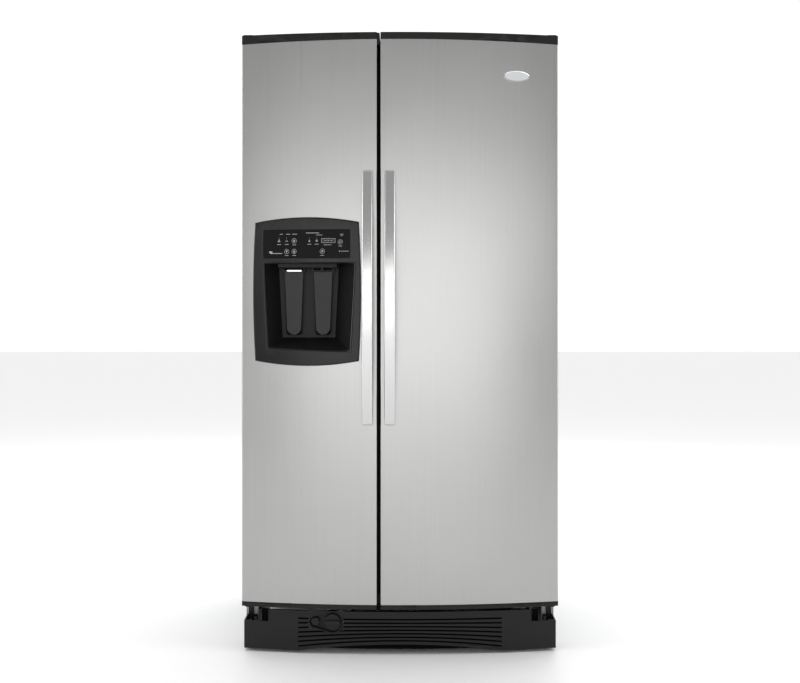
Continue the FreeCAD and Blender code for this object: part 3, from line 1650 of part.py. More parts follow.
def build():
    """Builds every piece and returns them by name."""
    made = [
        cabinet_shell(),
        back_panel(),
        cabinet_foam(),
        liner("freezer_liner", freezer_out),
        liner("fridge_liner", fridge_out),
        base_frame(),
        base_grille(),
        top_hinges(),
        bottom_hinges(),
        hinge_covers(),
        hinge_screws(),
        compressor(),
        condenser_coil(),
        condenser_fan_motor(),
        condenser_fan(),
        drain_pan(),
        machine_cover(),
        evaporator_coil(),
        evaporator_cover(),
        shelf_glass(),
        shelf_frames(),
        drawer("crisper_lower", fridge_in, drawer_base, d.drawer_low_height, hump_face),
        drawer("crisper_upper", fridge_in, upper_drawer_base, d.drawer_high_height, shelf_back),
        freezer_shelves(),
        drawer("freezer_basket", freezer_in, drawer_base, d.basket_height, hump_face),
        ice_maker(),
        ice_bin(),
        filter_housing(),
        filter_cartridge(),
        filter_cap(),
        eject_button(),
        levelling_foot(-1, "levelling_foot_left"),
        levelling_foot(1, "levelling_foot_right"),
        rear_roller(-1, "rear_roller_left"),
        rear_roller(1, "rear_roller_right"),
        dispenser_bezel(),
        dispenser_recess(),
        dispenser_spouts(),
        control_panel(),
        paddle("ice_paddle", ice_x),
        paddle("water_paddle", water_x),
    ]
    made += [key(name) for name in KEYS]
    for side in ("freezer", "fridge"):
        made += [
            door_skin(side),
            door_caps(side),
            door_foam(side),
            door_liner(side),
            door_gasket(side),
            door_bins(side),
            handle(side),
        ]
    return {item.Name: item for item in made}


def check(pieces):
    """Stops unless every object recomputed and every piece is a valid, closed shape."""
    failed = [item.Name for item in doc.Objects if {"Invalid", "Error"} & set(item.State)]
    if failed:
        raise RuntimeError(f"these objects failed to recompute: {failed}")
    for name, item in pieces.items():
        shape = item.Shape
        if shape.isNull() or not shape.isValid() or not shape.Solids or shape.Volume <= 0:
            raise RuntimeError(f"{name} has no valid solid")


def write(pieces):
    """Writes one STEP file for each piece."""
    os.makedirs("parts", exist_ok=True)
    for name, item in pieces.items():
        item.Label = name
        item.Shape.exportStep(f"parts/{item.Label}.step")


doc.recompute()
pieces = build()
doc.recompute()
check(pieces)
write(pieces)
print(f"{len(pieces)} pieces, {sum(len(item.Shape.Solids) for item in pieces.values())} solids")
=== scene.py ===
"""Side by side refrigerator with two bowed steel doors: the looks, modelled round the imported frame."""

import json
import logging
import math
from dataclasses import dataclass, field
from enum import Enum
from typing import Any, Callable, Optional, Sequence

import bmesh
import bpy
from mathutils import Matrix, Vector


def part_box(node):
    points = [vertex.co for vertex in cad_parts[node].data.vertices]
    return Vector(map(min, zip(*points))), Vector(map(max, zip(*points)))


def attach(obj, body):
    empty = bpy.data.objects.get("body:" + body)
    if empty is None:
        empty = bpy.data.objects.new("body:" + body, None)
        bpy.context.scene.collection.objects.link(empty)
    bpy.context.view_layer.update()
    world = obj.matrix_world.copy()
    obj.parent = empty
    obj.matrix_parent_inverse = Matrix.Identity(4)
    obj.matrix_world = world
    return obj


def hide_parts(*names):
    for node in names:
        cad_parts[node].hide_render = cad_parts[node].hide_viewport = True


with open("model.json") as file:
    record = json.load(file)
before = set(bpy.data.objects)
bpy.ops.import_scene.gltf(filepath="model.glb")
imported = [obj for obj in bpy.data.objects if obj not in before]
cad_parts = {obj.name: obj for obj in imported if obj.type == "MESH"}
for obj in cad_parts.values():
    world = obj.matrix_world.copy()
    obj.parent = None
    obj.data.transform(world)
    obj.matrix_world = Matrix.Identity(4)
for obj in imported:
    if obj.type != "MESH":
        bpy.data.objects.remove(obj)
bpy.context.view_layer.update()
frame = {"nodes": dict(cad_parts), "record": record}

Object = bpy.types.Object
Material = bpy.types.Material
Test = Callable[[Vector, Vector], bool]

log = logging.getLogger("refrigerator")
MM = 0.001


# ---------------------------------------------------------------- finishes


def linear(code: str) -> tuple[float, float, float, float]:
    """Turns an sRGB colour into the linear values that a shader reads.

    Args:
        code: six hex digits, such as "c8cacc".

    Returns:
        Linear red, green and blue, and an alpha of 1.
    """
    parts = (int(code[i : i + 2], 16) / 255 for i in (0, 2, 4))
    red, green, blue = (c / 12.92 if c <= 0.04045 else ((c + 0.055) / 1.055) ** 2.4 for c in parts)
    return red, green, blue, 1.0


def add_node(
    tree: bpy.types.NodeTree, kind: str, inputs: Optional[dict[Any, Any]] = None, **settings: Any
) -> bpy.types.Node:
    """Adds one node with its settings, values and links.

    Args:
        tree: the material's node tree.
        kind: the node's type name.
        inputs: socket name or number, and either a value or a (node, output) pair to link from.
        settings: properties of the node itself.

    Returns:
        The new node.
    """
    node = tree.nodes.new(kind)
    for name, value in settings.items():
        setattr(node, name, value)
    for socket, value in (inputs or {}).items():
        if isinstance(value, tuple) and value and isinstance(value[0], bpy.types.Node):
            tree.links.new(value[0].outputs[value[1]], node.inputs[socket])
        else:
            node.inputs[socket].default_value = value
    return node


class Pattern(Enum):
    """How a surface was made, which decides the texture that draws it."""

    NOISE = "noise"  # moulded grain, orange peel, brushed or rolled lines, by the cell's proportions
    CRYSTALS = "crystals"  # zinc spangle: flat cells that differ in tone
    CELLS = "cells"  # foam: small round hollows


@dataclass(frozen=True)
class Finish:
    """A real material and the way its surface was made.

    The pattern's cell is in millimetres along x, y and z, so a long cell gives lines.
    """

    name: str
    dark: str
    light: str
    rough: tuple[float, float]
    cell: tuple[float, float, float]
    bump: float = 0.02
    pattern: Pattern = Pattern.NOISE
    metallic: float = 0.0
    ior: float = 1.5
    specular: float = 0.5
    transmission: float = 0.0
    mottle: float = 240.0
    mottle_share: float = 0.3
    detail: float = 3.0

    def material(self) -> Material:
        """Builds the material once, and returns it each time."""
        made = bpy.data.materials.get(self.name)
        if made:
            return made
        made = bpy.data.materials.new(self.name)
        made.use_nodes = True
        tree = made.node_tree
        tree.nodes.clear()
        coords = add_node(tree, "ShaderNodeTexCoord")
        fine, height = self._pattern(tree, coords)
        broad = self._noise(tree, coords, (self.mottle,) * 3, 2.0)
        blend = add_node(
            tree,
            "ShaderNodeMix",
            {0: self.mottle_share, 2: fine, 3: (broad, "Fac")},
            data_type="FLOAT",
        )
        colour = add_node(
            tree,
            "ShaderNodeMix",
            {0: (blend, 0), 6: linear(self.dark), 7: linear(self.light)},
            data_type="RGBA",
        )
        rough = add_node(
            tree,
            "ShaderNodeMapRange",
            {"Value": (blend, 0), "From Min": 0.25, "From Max": 0.75, "To Min": self.rough[0], "To Max": self.rough[1]},
        )
        bump = add_node(tree, "ShaderNodeBump", {"Height": height, "Distance": self.bump * MM, "Strength": 1.0})
        values: dict[Any, Any] = {
            "Base Color": (colour, 2),
            "Roughness": (rough, 0),
            "Normal": (bump, 0),
            "Metallic": self.metallic,
            "Transmission Weight": self.transmission,
            "Specular IOR Level": self.specular,
        }
        if not self.metallic:
            values["IOR"] = self.ior
        shader = add_node(tree, "ShaderNodeBsdfPrincipled", values)
        add_node(tree, "ShaderNodeOutputMaterial", {"Surface": (shader, "BSDF")})
        return made

    def _noise(
        self, tree: bpy.types.NodeTree, coords: bpy.types.Node, cell: Sequence[float], detail: float
    ) -> bpy.types.Node:
        """Adds a noise whose features are as large as the cell, in millimetres."""
        scale = tuple(1 / (size * MM) for size in cell)
        place = add_node(tree, "ShaderNodeMapping", {"Vector": (coords, "Object"), "Scale": scale})
        return add_node(tree, "ShaderNodeTexNoise", {"Vector": (place, 0), "Scale": 1.0, "Detail": detail})

    def _pattern(self, tree: bpy.types.NodeTree, coords: bpy.types.Node) -> tuple[tuple, tuple]:
        """Adds the fine pattern. Returns the sockets for its tone and for its height."""
        if self.pattern is Pattern.NOISE:
            noise = self._noise(tree, coords, self.cell, self.detail)
            return (noise, "Fac"), (noise, "Fac")
        scale = tuple(1 / (size * MM) for size in self.cell)
        place = add_node(tree, "ShaderNodeMapping", {"Vector": (coords, "Object"), "Scale": scale})
        cells = add_node(tree, "ShaderNodeTexVoronoi", {"Vector": (place, 0), "Scale": 1.0})
        if self.pattern is Pattern.CELLS:
            return (cells, "Distance"), (cells, "Distance")
        tone = add_node(tree, "ShaderNodeSeparateColor", {"Color": (cells, "Color")})
        return (tone, 0), (cells, "Distance")


# Stainless steel, ground with a fine belt along its height: soft reflections drawn out sideways. The real grinding
# lines are under 0.1 mm wide, so they are drawn 1.6 mm wide and 320 mm long to show at all.
STEEL = Finish(
    "brushed_stainless_steel", "a6a6a5", "b7b7b6", (0.27, 0.36), (1.6, 1.6, 320.0), bump=0.006, metallic=1.0,
    mottle_share=0.35, mottle=300.0,
)
# The handles are bent from the same steel, ground finer and then polished: brighter, with sharper reflections.
POLISHED = Finish(
    "satin_polished_steel", "cbcbcb", "dadada", (0.2, 0.28), (1.2, 1.2, 200.0), bump=0.004, metallic=1.0,
)
# Cast zinc, chromed: a hard bright edge.
CHROME = Finish("chromed_zinc", "d9dadb", "e6e6e7", (0.05, 0.11), (30.0, 30.0, 30.0), bump=0.01, metallic=1.0)
# Hot-dip galvanised sheet: zinc crystals 14 mm across, each with its own dull grey.
ZINC = Finish(
    "galvanised_sheet", "8f9394", "b2b5b6", (0.36, 0.52), (14.0, 14.0, 14.0), bump=0.02,
    pattern=Pattern.CRYSTALS, metallic=0.85, mottle=400.0,
)
# Coil-coated steel with a leather emboss of 2.6 mm: a dull grey skin that breaks up every reflection.
PAINT = Finish(
    "embossed_grey_paint", "6a6c6d", "787a7b", (0.42, 0.55), (2.6, 2.6, 2.6), bump=0.12, detail=2.0,
)
# ABS, moulded in a spark-eroded tool: a fine matt grain, drawn at 0.9 mm.
CAP_PLASTIC = Finish(
    "grained_dark_abs", "131314", "1b1b1c", (0.42, 0.54), (0.9, 0.9, 0.9), bump=0.04, specular=0.25,
)
# Polypropylene with the same grain but a slightly greasier sheen.
BLACK_PLASTIC = Finish(
    "moulded_black_polypropylene", "161617", "202021", (0.36, 0.48), (1.1, 1.1, 1.1), bump=0.04, specular=0.22,
)
# ABS from a polished tool: black with a soft gloss, and the faint waviness that a moulding cools into.
GLOSS_BLACK = Finish(
    "polished_black_abs", "0a0a0b", "101011", (0.2, 0.28), (22.0, 22.0, 22.0), bump=0.02, specular=0.3,
)
# Acrylic sheet, printed black on its rear: the deepest gloss on the front.
PANEL = Finish(
    "black_backed_acrylic", "050506", "08080a", (0.08, 0.13), (60.0, 60.0, 60.0), bump=0.006, ior=1.49, specular=0.08,
)
# Soft rubber moulded over the levers, with a fine matt grain that takes up the light.
PAD_RUBBER = Finish(
    "overmoulded_black_rubber", "040404", "080808", (0.6, 0.72), (0.8, 0.8, 0.8), bump=0.03, specular=0.04,
)
# Screen print in pale grey ink: flat, slightly rough.
INK = Finish("pale_screen_ink", "9a9b9c", "b4b5b6", (0.5, 0.6), (0.8, 0.8, 0.8), bump=0.004, specular=0.2)
# The same ink, thinned: a faint line of it under the display.
FAINT_INK = Finish("thin_screen_ink", "3c3d3e", "4a4b4c", (0.5, 0.6), (0.8, 0.8, 0.8), bump=0.004, specular=0.2)
# Liquid crystal behind tinted glass: a green-grey glow when it is off.
DISPLAY = Finish(
    "unlit_liquid_crystal", "15191a", "1d2322", (0.12, 0.2), (9.0, 9.0, 9.0), bump=0.004, specular=0.3,
)
# Fibreglass board under solder mask: dull green with a fine weave.
BOARD = Finish("green_solder_mask", "14442a", "1d5a38", (0.3, 0.42), (1.2, 1.2, 1.2), bump=0.02)
# Vitreous enamel filled into the badge: pale and glassy.
BADGE_ENAMEL = Finish("pale_badge_enamel", "c4c8ca", "d4d7d8", (0.12, 0.2), (14.0, 14.0, 14.0), bump=0.006)
# HIPS, vacuum-formed over a cast tool: clean white with a soft orange peel 7 mm across.
LINER = Finish("vacuum_formed_white_hips", "dfe0df", "ecedec", (0.26, 0.36), (7.0, 7.0, 7.0), bump=0.04, detail=1.0)
# ABS, moulded white and glossy, for the frames and housings that hold up shelves.
WHITE_ABS = Finish("moulded_white_abs", "e3e4e4", "eff0ef", (0.22, 0.32), (12.0, 12.0, 12.0), bump=0.02)
# PVC, extruded with carbon black: dull rubber with fine lines from the die.
RUBBER = Finish(
    "extruded_dark_pvc", "1c1c1d", "262627", (0.5, 0.62), (1.4, 1.4, 40.0), bump=0.04, specular=0.25,
)
# SAN, injection moulded: clear with a cool cast and faint flow marks.
CLEAR = Finish(
    "clear_san", "dfe9ee", "eef5f7", (0.05, 0.12), (35.0, 35.0, 12.0), bump=0.02, ior=1.57, transmission=0.9,
)
# Float glass, tempered: clear with a green cast from its iron.
GLASS = Finish(
    "tempered_float_glass", "dcefe6", "e8f5ee", (0.01, 0.04), (160.0, 160.0, 160.0), bump=0.004, ior=1.52,
    transmission=0.95,
)
# Steel wire, dipped in polyethylene: white, thick and waxy.
WIRE = Finish("dipped_white_wire", "dadbda", "ebebea", (0.3, 0.42), (3.5, 3.5, 3.5), bump=0.05)
# Polyurethane foam, cut: buff, with open cells drawn at 1.8 mm.
FOAM = Finish("buff_rigid_foam", "cdb98a", "e2d2a6", (0.75, 0.9), (1.8, 1.8, 1.8), bump=0.4, pattern=Pattern.CELLS)
# Stove enamel over drawn steel: black, with a low orange peel.
ENAMEL = Finish(
    "black_stove_enamel", "0b0b0c", "131314", (0.26, 0.38), (4.0, 4.0, 4.0), bump=0.05, specular=0.35,
)
# Rolled aluminium, left bare: bright grey lines along the sheet.
ALUMINIUM = Finish(
    "mill_finish_aluminium", "b3b5b6", "cacbcc", (0.28, 0.42), (60.0, 1.2, 1.2), bump=0.01, metallic=1.0,
)
# Nylon, injection moulded and left natural: milky, slightly waxy.
NYLON = Finish("natural_nylon", "cfcbbd", "dedacd", (0.35, 0.5), (2.0, 2.0, 2.0), bump=0.04)
# Sealed concrete studio floor: pale, with a trace of unevenness.
FLOOR = Finish("pale_studio_floor", "f6f6f6", "fbfbfb", (0.5, 0.65), (45.0, 45.0, 45.0), bump=0.05, mottle=900.0)

SLOT_FINISHES: dict[str, Finish] = {
    "stainless_steel": STEEL,
    "grey_paint": PAINT,
    "galvanised_steel": ZINC,
    "cap_plastic": CAP_PLASTIC,
    "black_plastic": BLACK_PLASTIC,
    "gloss_black": GLOSS_BLACK,
    "white_liner": LINER,
    "gasket_rubber": RUBBER,
    "clear_plastic": CLEAR,
    "shelf_glass": GLASS,
    "coated_wire": WIRE,
    "foam": FOAM,
    "black_enamel": ENAMEL,
    "bare_aluminium": ALUMINIUM,
    "nylon": NYLON,
}


# ---------------------------------------------------------------- modelling


def deselect() -> None:
    """Leaves edit mode and clears the selection."""
    if bpy.context.object and bpy.context.object.mode != "OBJECT":
        bpy.ops.object.mode_set(mode="OBJECT")
    bpy.ops.object.select_all(action="DESELECT")


def activate(obj: Object) -> None:
    """Makes one object the only selected one, and active."""
    deselect()
    obj.select_set(True)
    bpy.context.view_layer.objects.active = obj


def settle(name: str) -> Object:
    """Names the new primitive, and moves its place and size into its mesh."""
    obj = bpy.context.object
    obj.name = obj.data.name = name
    activate(obj)
    bpy.ops.object.transform_apply(location=True, rotation=True, scale=True)
    return obj


def add_block(name: str, low: Sequence[float], high: Sequence[float]) -> Object:
    """Adds a block between two corners, in millimetres."""
    low, high = Vector(low), Vector(high)
    return add_tile(name, (low + high) / 2, high - low)


def add_tile(name: str, centre: Sequence[float], size: Sequence[float], turn: Sequence[float] = (0, 0, 0)) -> Object:
    """Adds a block by its middle and size in millimetres, turned by angles in degrees."""
    deselect()
    bpy.ops.mesh.primitive_cube_add(
        size=1, location=[c * MM for c in centre], rotation=[math.radians(a) for a in turn]
    )
    bpy.context.object.scale = [v * MM for v in size]
    return settle(name)


def add_ring(name: str, centre: Sequence[float], radius: float, wire: float, turn: Sequence[float]) -> Object:
    """Adds a ring of round wire, flattened along its axis, in millimetres and degrees."""
    deselect()
    bpy.ops.mesh.primitive_torus_add(
        location=[c * MM for c in centre],
        rotation=[math.radians(a) for a in turn],
        major_segments=28,
        minor_segments=8,
        major_radius=radius * MM,
        minor_radius=wire * MM,
    )
    bpy.context.object.scale = (1, 1, 0.5)
    return settle(name)


def join(name: str, pieces: Sequence[Object]) -> Object:
    """Makes several objects one."""
    activate(pieces[0])
    if len(pieces) > 1:
        for piece in pieces:
            piece.select_set(True)
        bpy.ops.object.join()
    pieces[0].name = pieces[0].data.name = name
    return pieces[0]


def add_rod(
    name: str,
    centre: Sequence[float],
    radius: float,
    depth: float,
    turn: Sequence[float] = (0.0, 0.0, 0.0),
    sides: int = 48,
    stretch: Sequence[float] = (1.0, 1.0, 1.0),
) -> Object:
    """Adds a cylinder.

    Args:
        name: the piece's name.
        centre: its middle, in millimetres.
        radius: in millimetres.
        depth: its length, in millimetres.
        turn: its rotation, in degrees.
        sides: how many faces go round it.
        stretch: its scale before it is turned.

    Returns:
        The cylinder, with its place in its mesh.
    """
    deselect()
    bpy.ops.mesh.primitive_cylinder_add(
        vertices=sides,
        radius=radius * MM,
        depth=depth * MM,
        location=[c * MM for c in centre],
        rotation=[math.radians(a) for a in turn],
    )
    bpy.context.object.scale = stretch
    return settle(name)


def apply_modifier(obj: Object, kind: str, **settings: Any) -> None:
    """Adds a modifier with its settings, and applies it."""
    activate(obj)
    modifier = obj.modifiers.new(kind.lower(), kind)
    for name, value in settings.items():
        setattr(modifier, name, value)
    bpy.ops.object.modifier_apply(modifier=modifier.name)


def boolean(obj: Object, tool: Object, operation: str, keep: bool = False) -> None:
    """Joins, cuts or trims an object by a tool, which is then deleted unless it is kept."""
    apply_modifier(obj, "BOOLEAN", operation=operation, object=tool, solver="EXACT")
    if not keep:
        bpy.data.objects.remove(tool, do_unlink=True)


def open_mesh(obj: Object, kind: str) -> bmesh.types.BMesh:
    """Enters edit mode with nothing selected, to select by "EDGE" or "FACE"."""
    activate(obj)
    bpy.ops.object.mode_set(mode="EDIT")
    bpy.ops.mesh.select_mode(type=kind)
    bpy.ops.mesh.select_all(action="DESELECT")
    return bmesh.from_edit_mesh(obj.data)


def select_edges(obj: Object, wanted: Test, sharp: float = 30.0) -> bool:
    """Enters edit mode and selects the edges that turn by an angle and pass a test.

    Args:
        obj: the object.
        wanted: a test of an edge's middle and its direction, in metres.
        sharp: the least angle between its two faces, in degrees.

    Returns:
        Whether any edge is selected.
    """
    mesh = open_mesh(obj, "EDGE")
    found = False
    for edge in mesh.edges:
        if len(edge.link_faces) != 2 or edge.calc_face_angle(0.0) < math.radians(sharp):
            continue
        a, b = (v.co for v in edge.verts)
        if wanted((a + b) / 2, b - a):
            edge.select_set(True)
            found = True
    mesh.select_flush_mode()
    bmesh.update_edit_mesh(obj.data)
    return found


def select_faces(obj: Object, wanted: Test) -> None:
    """Enters edit mode and selects the faces that pass a test of their middle and normal."""
    mesh = open_mesh(obj, "FACE")
    for face in mesh.faces:
        if wanted(face.calc_center_median(), face.normal):
            face.select_set(True)
    bmesh.update_edit_mesh(obj.data)


def anywhere(middle: Vector, along: Vector) -> bool:
    """Passes every edge or face."""
    return True


def facing(*direction: float) -> Test:
    """A test that passes the faces that look in a direction."""
    return lambda middle, normal: normal.dot(Vector(direction)) > 0.9


def round_edges(obj: Object, width: float, segments: int = 3, sharp: float = 30.0, wanted: Test = anywhere) -> None:
    """Rounds the sharp edges that pass a test, by a width in millimetres."""
    if select_edges(obj, wanted, sharp):
        bpy.ops.mesh.bevel(
            offset=width * MM, segments=segments, affect="EDGES", clamp_overlap=True, miter_outer="ARC"
        )
    deselect()


def smooth(obj: Object, angle: float = 35.0) -> None:
    """Shades smooth across all but the sharp edges, with flat faces kept flat beside their rounded edges."""
    activate(obj)
    bpy.ops.object.shade_smooth_by_angle(angle=math.radians(angle))
    apply_modifier(obj, "WEIGHTED_NORMAL", keep_sharp=True, weight=50)


def copy_node(node: str, name: str) -> Object:
    """Copies a CAD node's mesh into a new object, and merges its loose triangles into one clean net of them."""
    obj = bpy.data.objects.new(name, frame["nodes"][node].data.copy())
    obj.data.name = name
    bpy.context.scene.collection.objects.link(obj)
    activate(obj)
    bpy.ops.object.mode_set(mode="EDIT")
    bpy.ops.mesh.select_all(action="SELECT")
    bpy.ops.mesh.remove_doubles(threshold=0.005 * MM)
    bpy.ops.mesh.dissolve_limited(angle_limit=math.radians(0.3), delimit={"NORMAL"})
    bpy.ops.mesh.quads_convert_to_tris(quad_method="BEAUTY", ngon_method="BEAUTY")
    bpy.ops.object.mode_set(mode="OBJECT")
    return obj


def repaint(obj: Object, finish: Finish, wanted: Test) -> None:
    """Gives the faces that pass a test of their middle and normal another finish."""
    obj.data.materials.append(finish.material())
    for face in obj.data.polygons:
        if wanted(face.center, face.normal):
            face.material_index = len(obj.data.materials) - 1


def dress(obj: Object, finish: Finish) -> None:
    """Gives the whole object one finish."""
    if not obj.material_slots:
        obj.data.materials.append(finish.material())
    for slot in obj.material_slots:
        slot.material = finish.material()


def corners(node: str) -> tuple[Vector, Vector]:
    """A CAD node's lowest and highest corners, in millimetres."""
    low, high = (Vector(v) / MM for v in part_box(node))
    return low, high


def body_of(node: str) -> str:
    """The body that a CAD node rides on, from the record."""
    bodies = frame["record"]["behaviour"]["bodies"]
    return next(body for body, nodes in bodies.items() if node in nodes)


def place(
    obj: Object,
    body: str,
    slot: str,
    finish: Finish,
    *nodes: str,
    repainted: Optional[tuple[Finish, Test]] = None,
) -> Object:
    """Finishes a piece: its shading, finish, body, and the CAD nodes it stands for.

    Args:
        obj: the piece.
        body: the body it rides on.
        slot: the record's material slot; not used.
        finish: what it is made of.
        nodes: the CAD nodes it replaces.
        repainted: a second finish, and a test of the faces that take it.

    Returns:
        The piece.
    """
    dress(obj, finish)
    if repainted:
        repaint(obj, *repainted)
    smooth(obj)
    deselect()
    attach(obj, body)
    if nodes:
        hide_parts(*nodes)
    log.info("%s rides on %s, %d faces", obj.name, body, len(obj.data.polygons))
    return obj


@dataclass(frozen=True)
class Softened:
    """A CAD node whose shape is right once its edges are rounded."""

    node: str
    slot: str
    width: float
    segments: int = 2
    sharp: float = 35.0
    finish: Optional[Finish] = None

    def build(self) -> Object:
        """Copies the node, rounds its edges and lets the copy stand for it."""
        obj = copy_node(self.node, self.node + "_rounded")
        round_edges(obj, self.width, self.segments, self.sharp)
        return place(obj, body_of(self.node), self.slot, self.finish or SLOT_FINISHES[self.slot], self.node)


def build_all(pieces: Sequence[Softened]) -> None:
    """Builds each of a sub-assembly's rounded pieces."""
    for piece in pieces:
        piece.build()


# ---------------------------------------------------------------- doors


@dataclass
class Bow:
    """The upright curve that both doors' fronts lie on. Sizes in millimetres."""

    radius: float = 2175.9
    centre_y: float = 1807.9
    sides: int = 1024

    def front(self, x: float, proud: float = 0.0) -> float:
        """The curve's depth at a place across the front, moved forward by proud."""
        return self.centre_y - math.sqrt((self.radius + proud) ** 2 - x * x)

    def lean(self, x: float) -> float:
        """How far the curve's face is turned at a place across the front, in degrees."""
        return math.degrees(math.asin(x / self.radius))

    def cylinder(self, name: str, proud: float = 0.0) -> Object:
        """The curve as a tall solid cylinder."""
        return add_rod(name, (0, self.centre_y, 900), self.radius + proud, 2400, sides=self.sides)


@dataclass
class Door:
    """One door: steel wrap, moulded caps, foam, liner, gasket, bins and handle. Sizes in millimetres."""

    side: str
    bow: Bow = field(default_factory=Bow)
    skin: float = 1.5
    outer_corner: float = 11.0
    seam_corner: float = 5.0
    cap_proud: float = 0.8
    cap_height: float = 26.0
    arch_half: float = 464.5
    arch_rise: float = 6.0
    cap_edge: float = 2.4
    handle_edge: float = 5.0
    spare: float = 5.0

    def __post_init__(self) -> None:
        """Reads the door's own edges from the frame."""
        low, high = corners(f"{self.side}_door_skin")
        self.left, self.right, self.back = low.x, high.x, high.y
        self.low, self.high = low.z, high.z
        self.foot, self.top = (corner.z for corner in corners(f"{self.side}_door_caps"))

    def envelope(
        self, name: str, inset: float, low: float, high: float, proud: float = 0.0, behind: float = 0.0
    ) -> Object:
        """A solid as large as the door, with its two front corners rounded.

        Args:
            name: the solid's name.
            inset: how far it is set in from the door's sides and front.
            low: its lower end.
            high: its upper end.
            proud: how far its front stands ahead of the door's curve.
            behind: how far it runs on past the door's back.

        Returns:
            The solid.
        """
        ahead = self.bow.front(0, proud) - 20
        block = add_block(name, (self.left + inset, ahead, low), (self.right - inset, self.back + behind, high))
        boolean(block, self.bow.cylinder(name + "_bow", proud - inset), "INTERSECT")
        for x, outer in ((self.left + inset, self.side == "freezer"), (self.right - inset, self.side == "fridge")):
            radius = (self.outer_corner if outer else self.seam_corner) - inset

            def corner(middle: Vector, along: Vector) -> bool:
                """Whether an edge is the door's upright front corner at this side."""
                upright = abs(along.z) > 0.9 * along.length
                return upright and abs(middle.x / MM - x) < 0.5 and middle.y / MM < self.back - 20

            if select_edges(block, corner, 20.0):
                bpy.ops.mesh.bevel(offset=radius * MM, segments=8, affect="EDGES")
            deselect()
        return block

    def build_skin(self) -> None:
        """The steel wrap: a thin shell, open at the back, arched under the top cap, cut out for the dispenser."""
        wrap = self.envelope(f"{self.side}_door_wrap", 0, self.low, self.top)
        low, high = self.low - self.spare, self.top + self.spare
        boolean(wrap, self.envelope("wrap_tool", self.skin, low, high, behind=self.spare), "DIFFERENCE")
        radius = (self.arch_half**2 + self.arch_rise**2) / (2 * self.arch_rise)
        crest = self.top - self.cap_height + self.arch_rise
        arch = add_rod("arch_tool", (0, self.back, crest - radius), radius, 400, (90, 0, 0), 2048)
        boolean(wrap, arch, "INTERSECT")
        if self.side == "freezer":
            for node in ("dispenser_recess", "control_panel"):
                low, high = corners(node)
                hole = add_block("hole_tool", (low.x, -400, low.z), (high.x, self.back + 20, high.z))
                boolean(wrap, hole, "DIFFERENCE")
        place(wrap, f"{self.side}_door", "stainless_steel", STEEL, f"{self.side}_door_skin")

    def build_core(self) -> None:
        """The foam core, trimmed to the wrap's rounded corners."""
        node = f"{self.side}_door_foam"
        core = copy_node(node, f"{self.side}_door_core")
        low, high = self.foot - self.spare, self.top + self.spare
        boolean(core, self.envelope("core_tool", self.skin, low, high), "INTERSECT")
        place(core, f"{self.side}_door", "foam", FOAM, node)

    def build_caps(self) -> None:
        """The moulded caps at the door's top and bottom, with rounded corners and edges."""
        node = f"{self.side}_door_caps"
        caps = copy_node(node, f"{self.side}_door_end_caps")
        boolean(caps, self.envelope("caps_tool", 0, self.foot, self.top, self.cap_proud), "INTERSECT")

        def rim(middle: Vector, along: Vector) -> bool:
            """Whether an edge runs round a cap's outer end."""
            z = middle.z / MM
            return (abs(z - self.foot) < 0.2 or abs(z - self.top) < 0.2) and along.length > 3 * MM

        round_edges(caps, self.cap_edge, 3, 50.0, rim)
        place(caps, f"{self.side}_door", "cap_plastic", CAP_PLASTIC, node)

    def build_inside(self) -> None:
        """The liner, the gasket and the bins."""
        for part, slot, width in (("liner", "white_liner", 3.0), ("bins", "clear_plastic", 1.0)):
            Softened(f"{self.side}_door_{part}", slot, width).build()
        Softened(f"{self.side}_door_gasket", "gasket_rubber", 2.5, 3).build()

    def build_handle(self) -> None:
        """The bow handle, with its long edges rolled over."""
        Softened(f"{self.side}_handle", "stainless_steel", self.handle_edge, 5, 50.0, POLISHED).build()

    def build(self) -> None:
        """Builds the whole door."""
        self.build_skin()
        self.build_core()
        self.build_caps()
        self.build_inside()
        self.build_handle()


# ---------------------------------------------------------------- dispenser


class Glyph(Enum):
    """Plain signs for the controls: each a few discs, rings and tiles, as kind, x, z, width, height and turn."""

    DROP = (("disc", 0, -1.2, 4.6, 4.6, 0), ("tile", 0, 0.9, 3.2, 3.2, 45))
    CUBES = (("tile", -2, -1.4, 3, 3, 0), ("tile", 2, -1.4, 3, 3, 0), ("tile", 0, 2.4, 3, 3, 0))
    CRUSHED = (("tile", -2.6, -1, 2, 2, 20), ("tile", 2.4, -1.6, 2, 2, 50), ("tile", 0, 1.8, 2, 2, 70))
    GLASS = (("tile", 0, 0, 4.4, 6.2, 0),)
    LAMP = (("disc", 0, 1.2, 4.8, 4.8, 0), ("tile", 0, -2.6, 2.6, 1.8, 0))
    LOCK = (("ring", 0, 1.6, 3.6, 3.6, 0), ("tile", 0, -1.6, 5.4, 3.8, 0))
    FAN = (("tile", 0, 0, 7, 1.4, 0), ("tile", 0, 0, 7, 1.4, 60), ("tile", 0, 0, 7, 1.4, 120))
    FILTER = (("ring", 0, 0, 6, 6, 0), ("disc", 0, 0, 2.4, 2.4, 0))


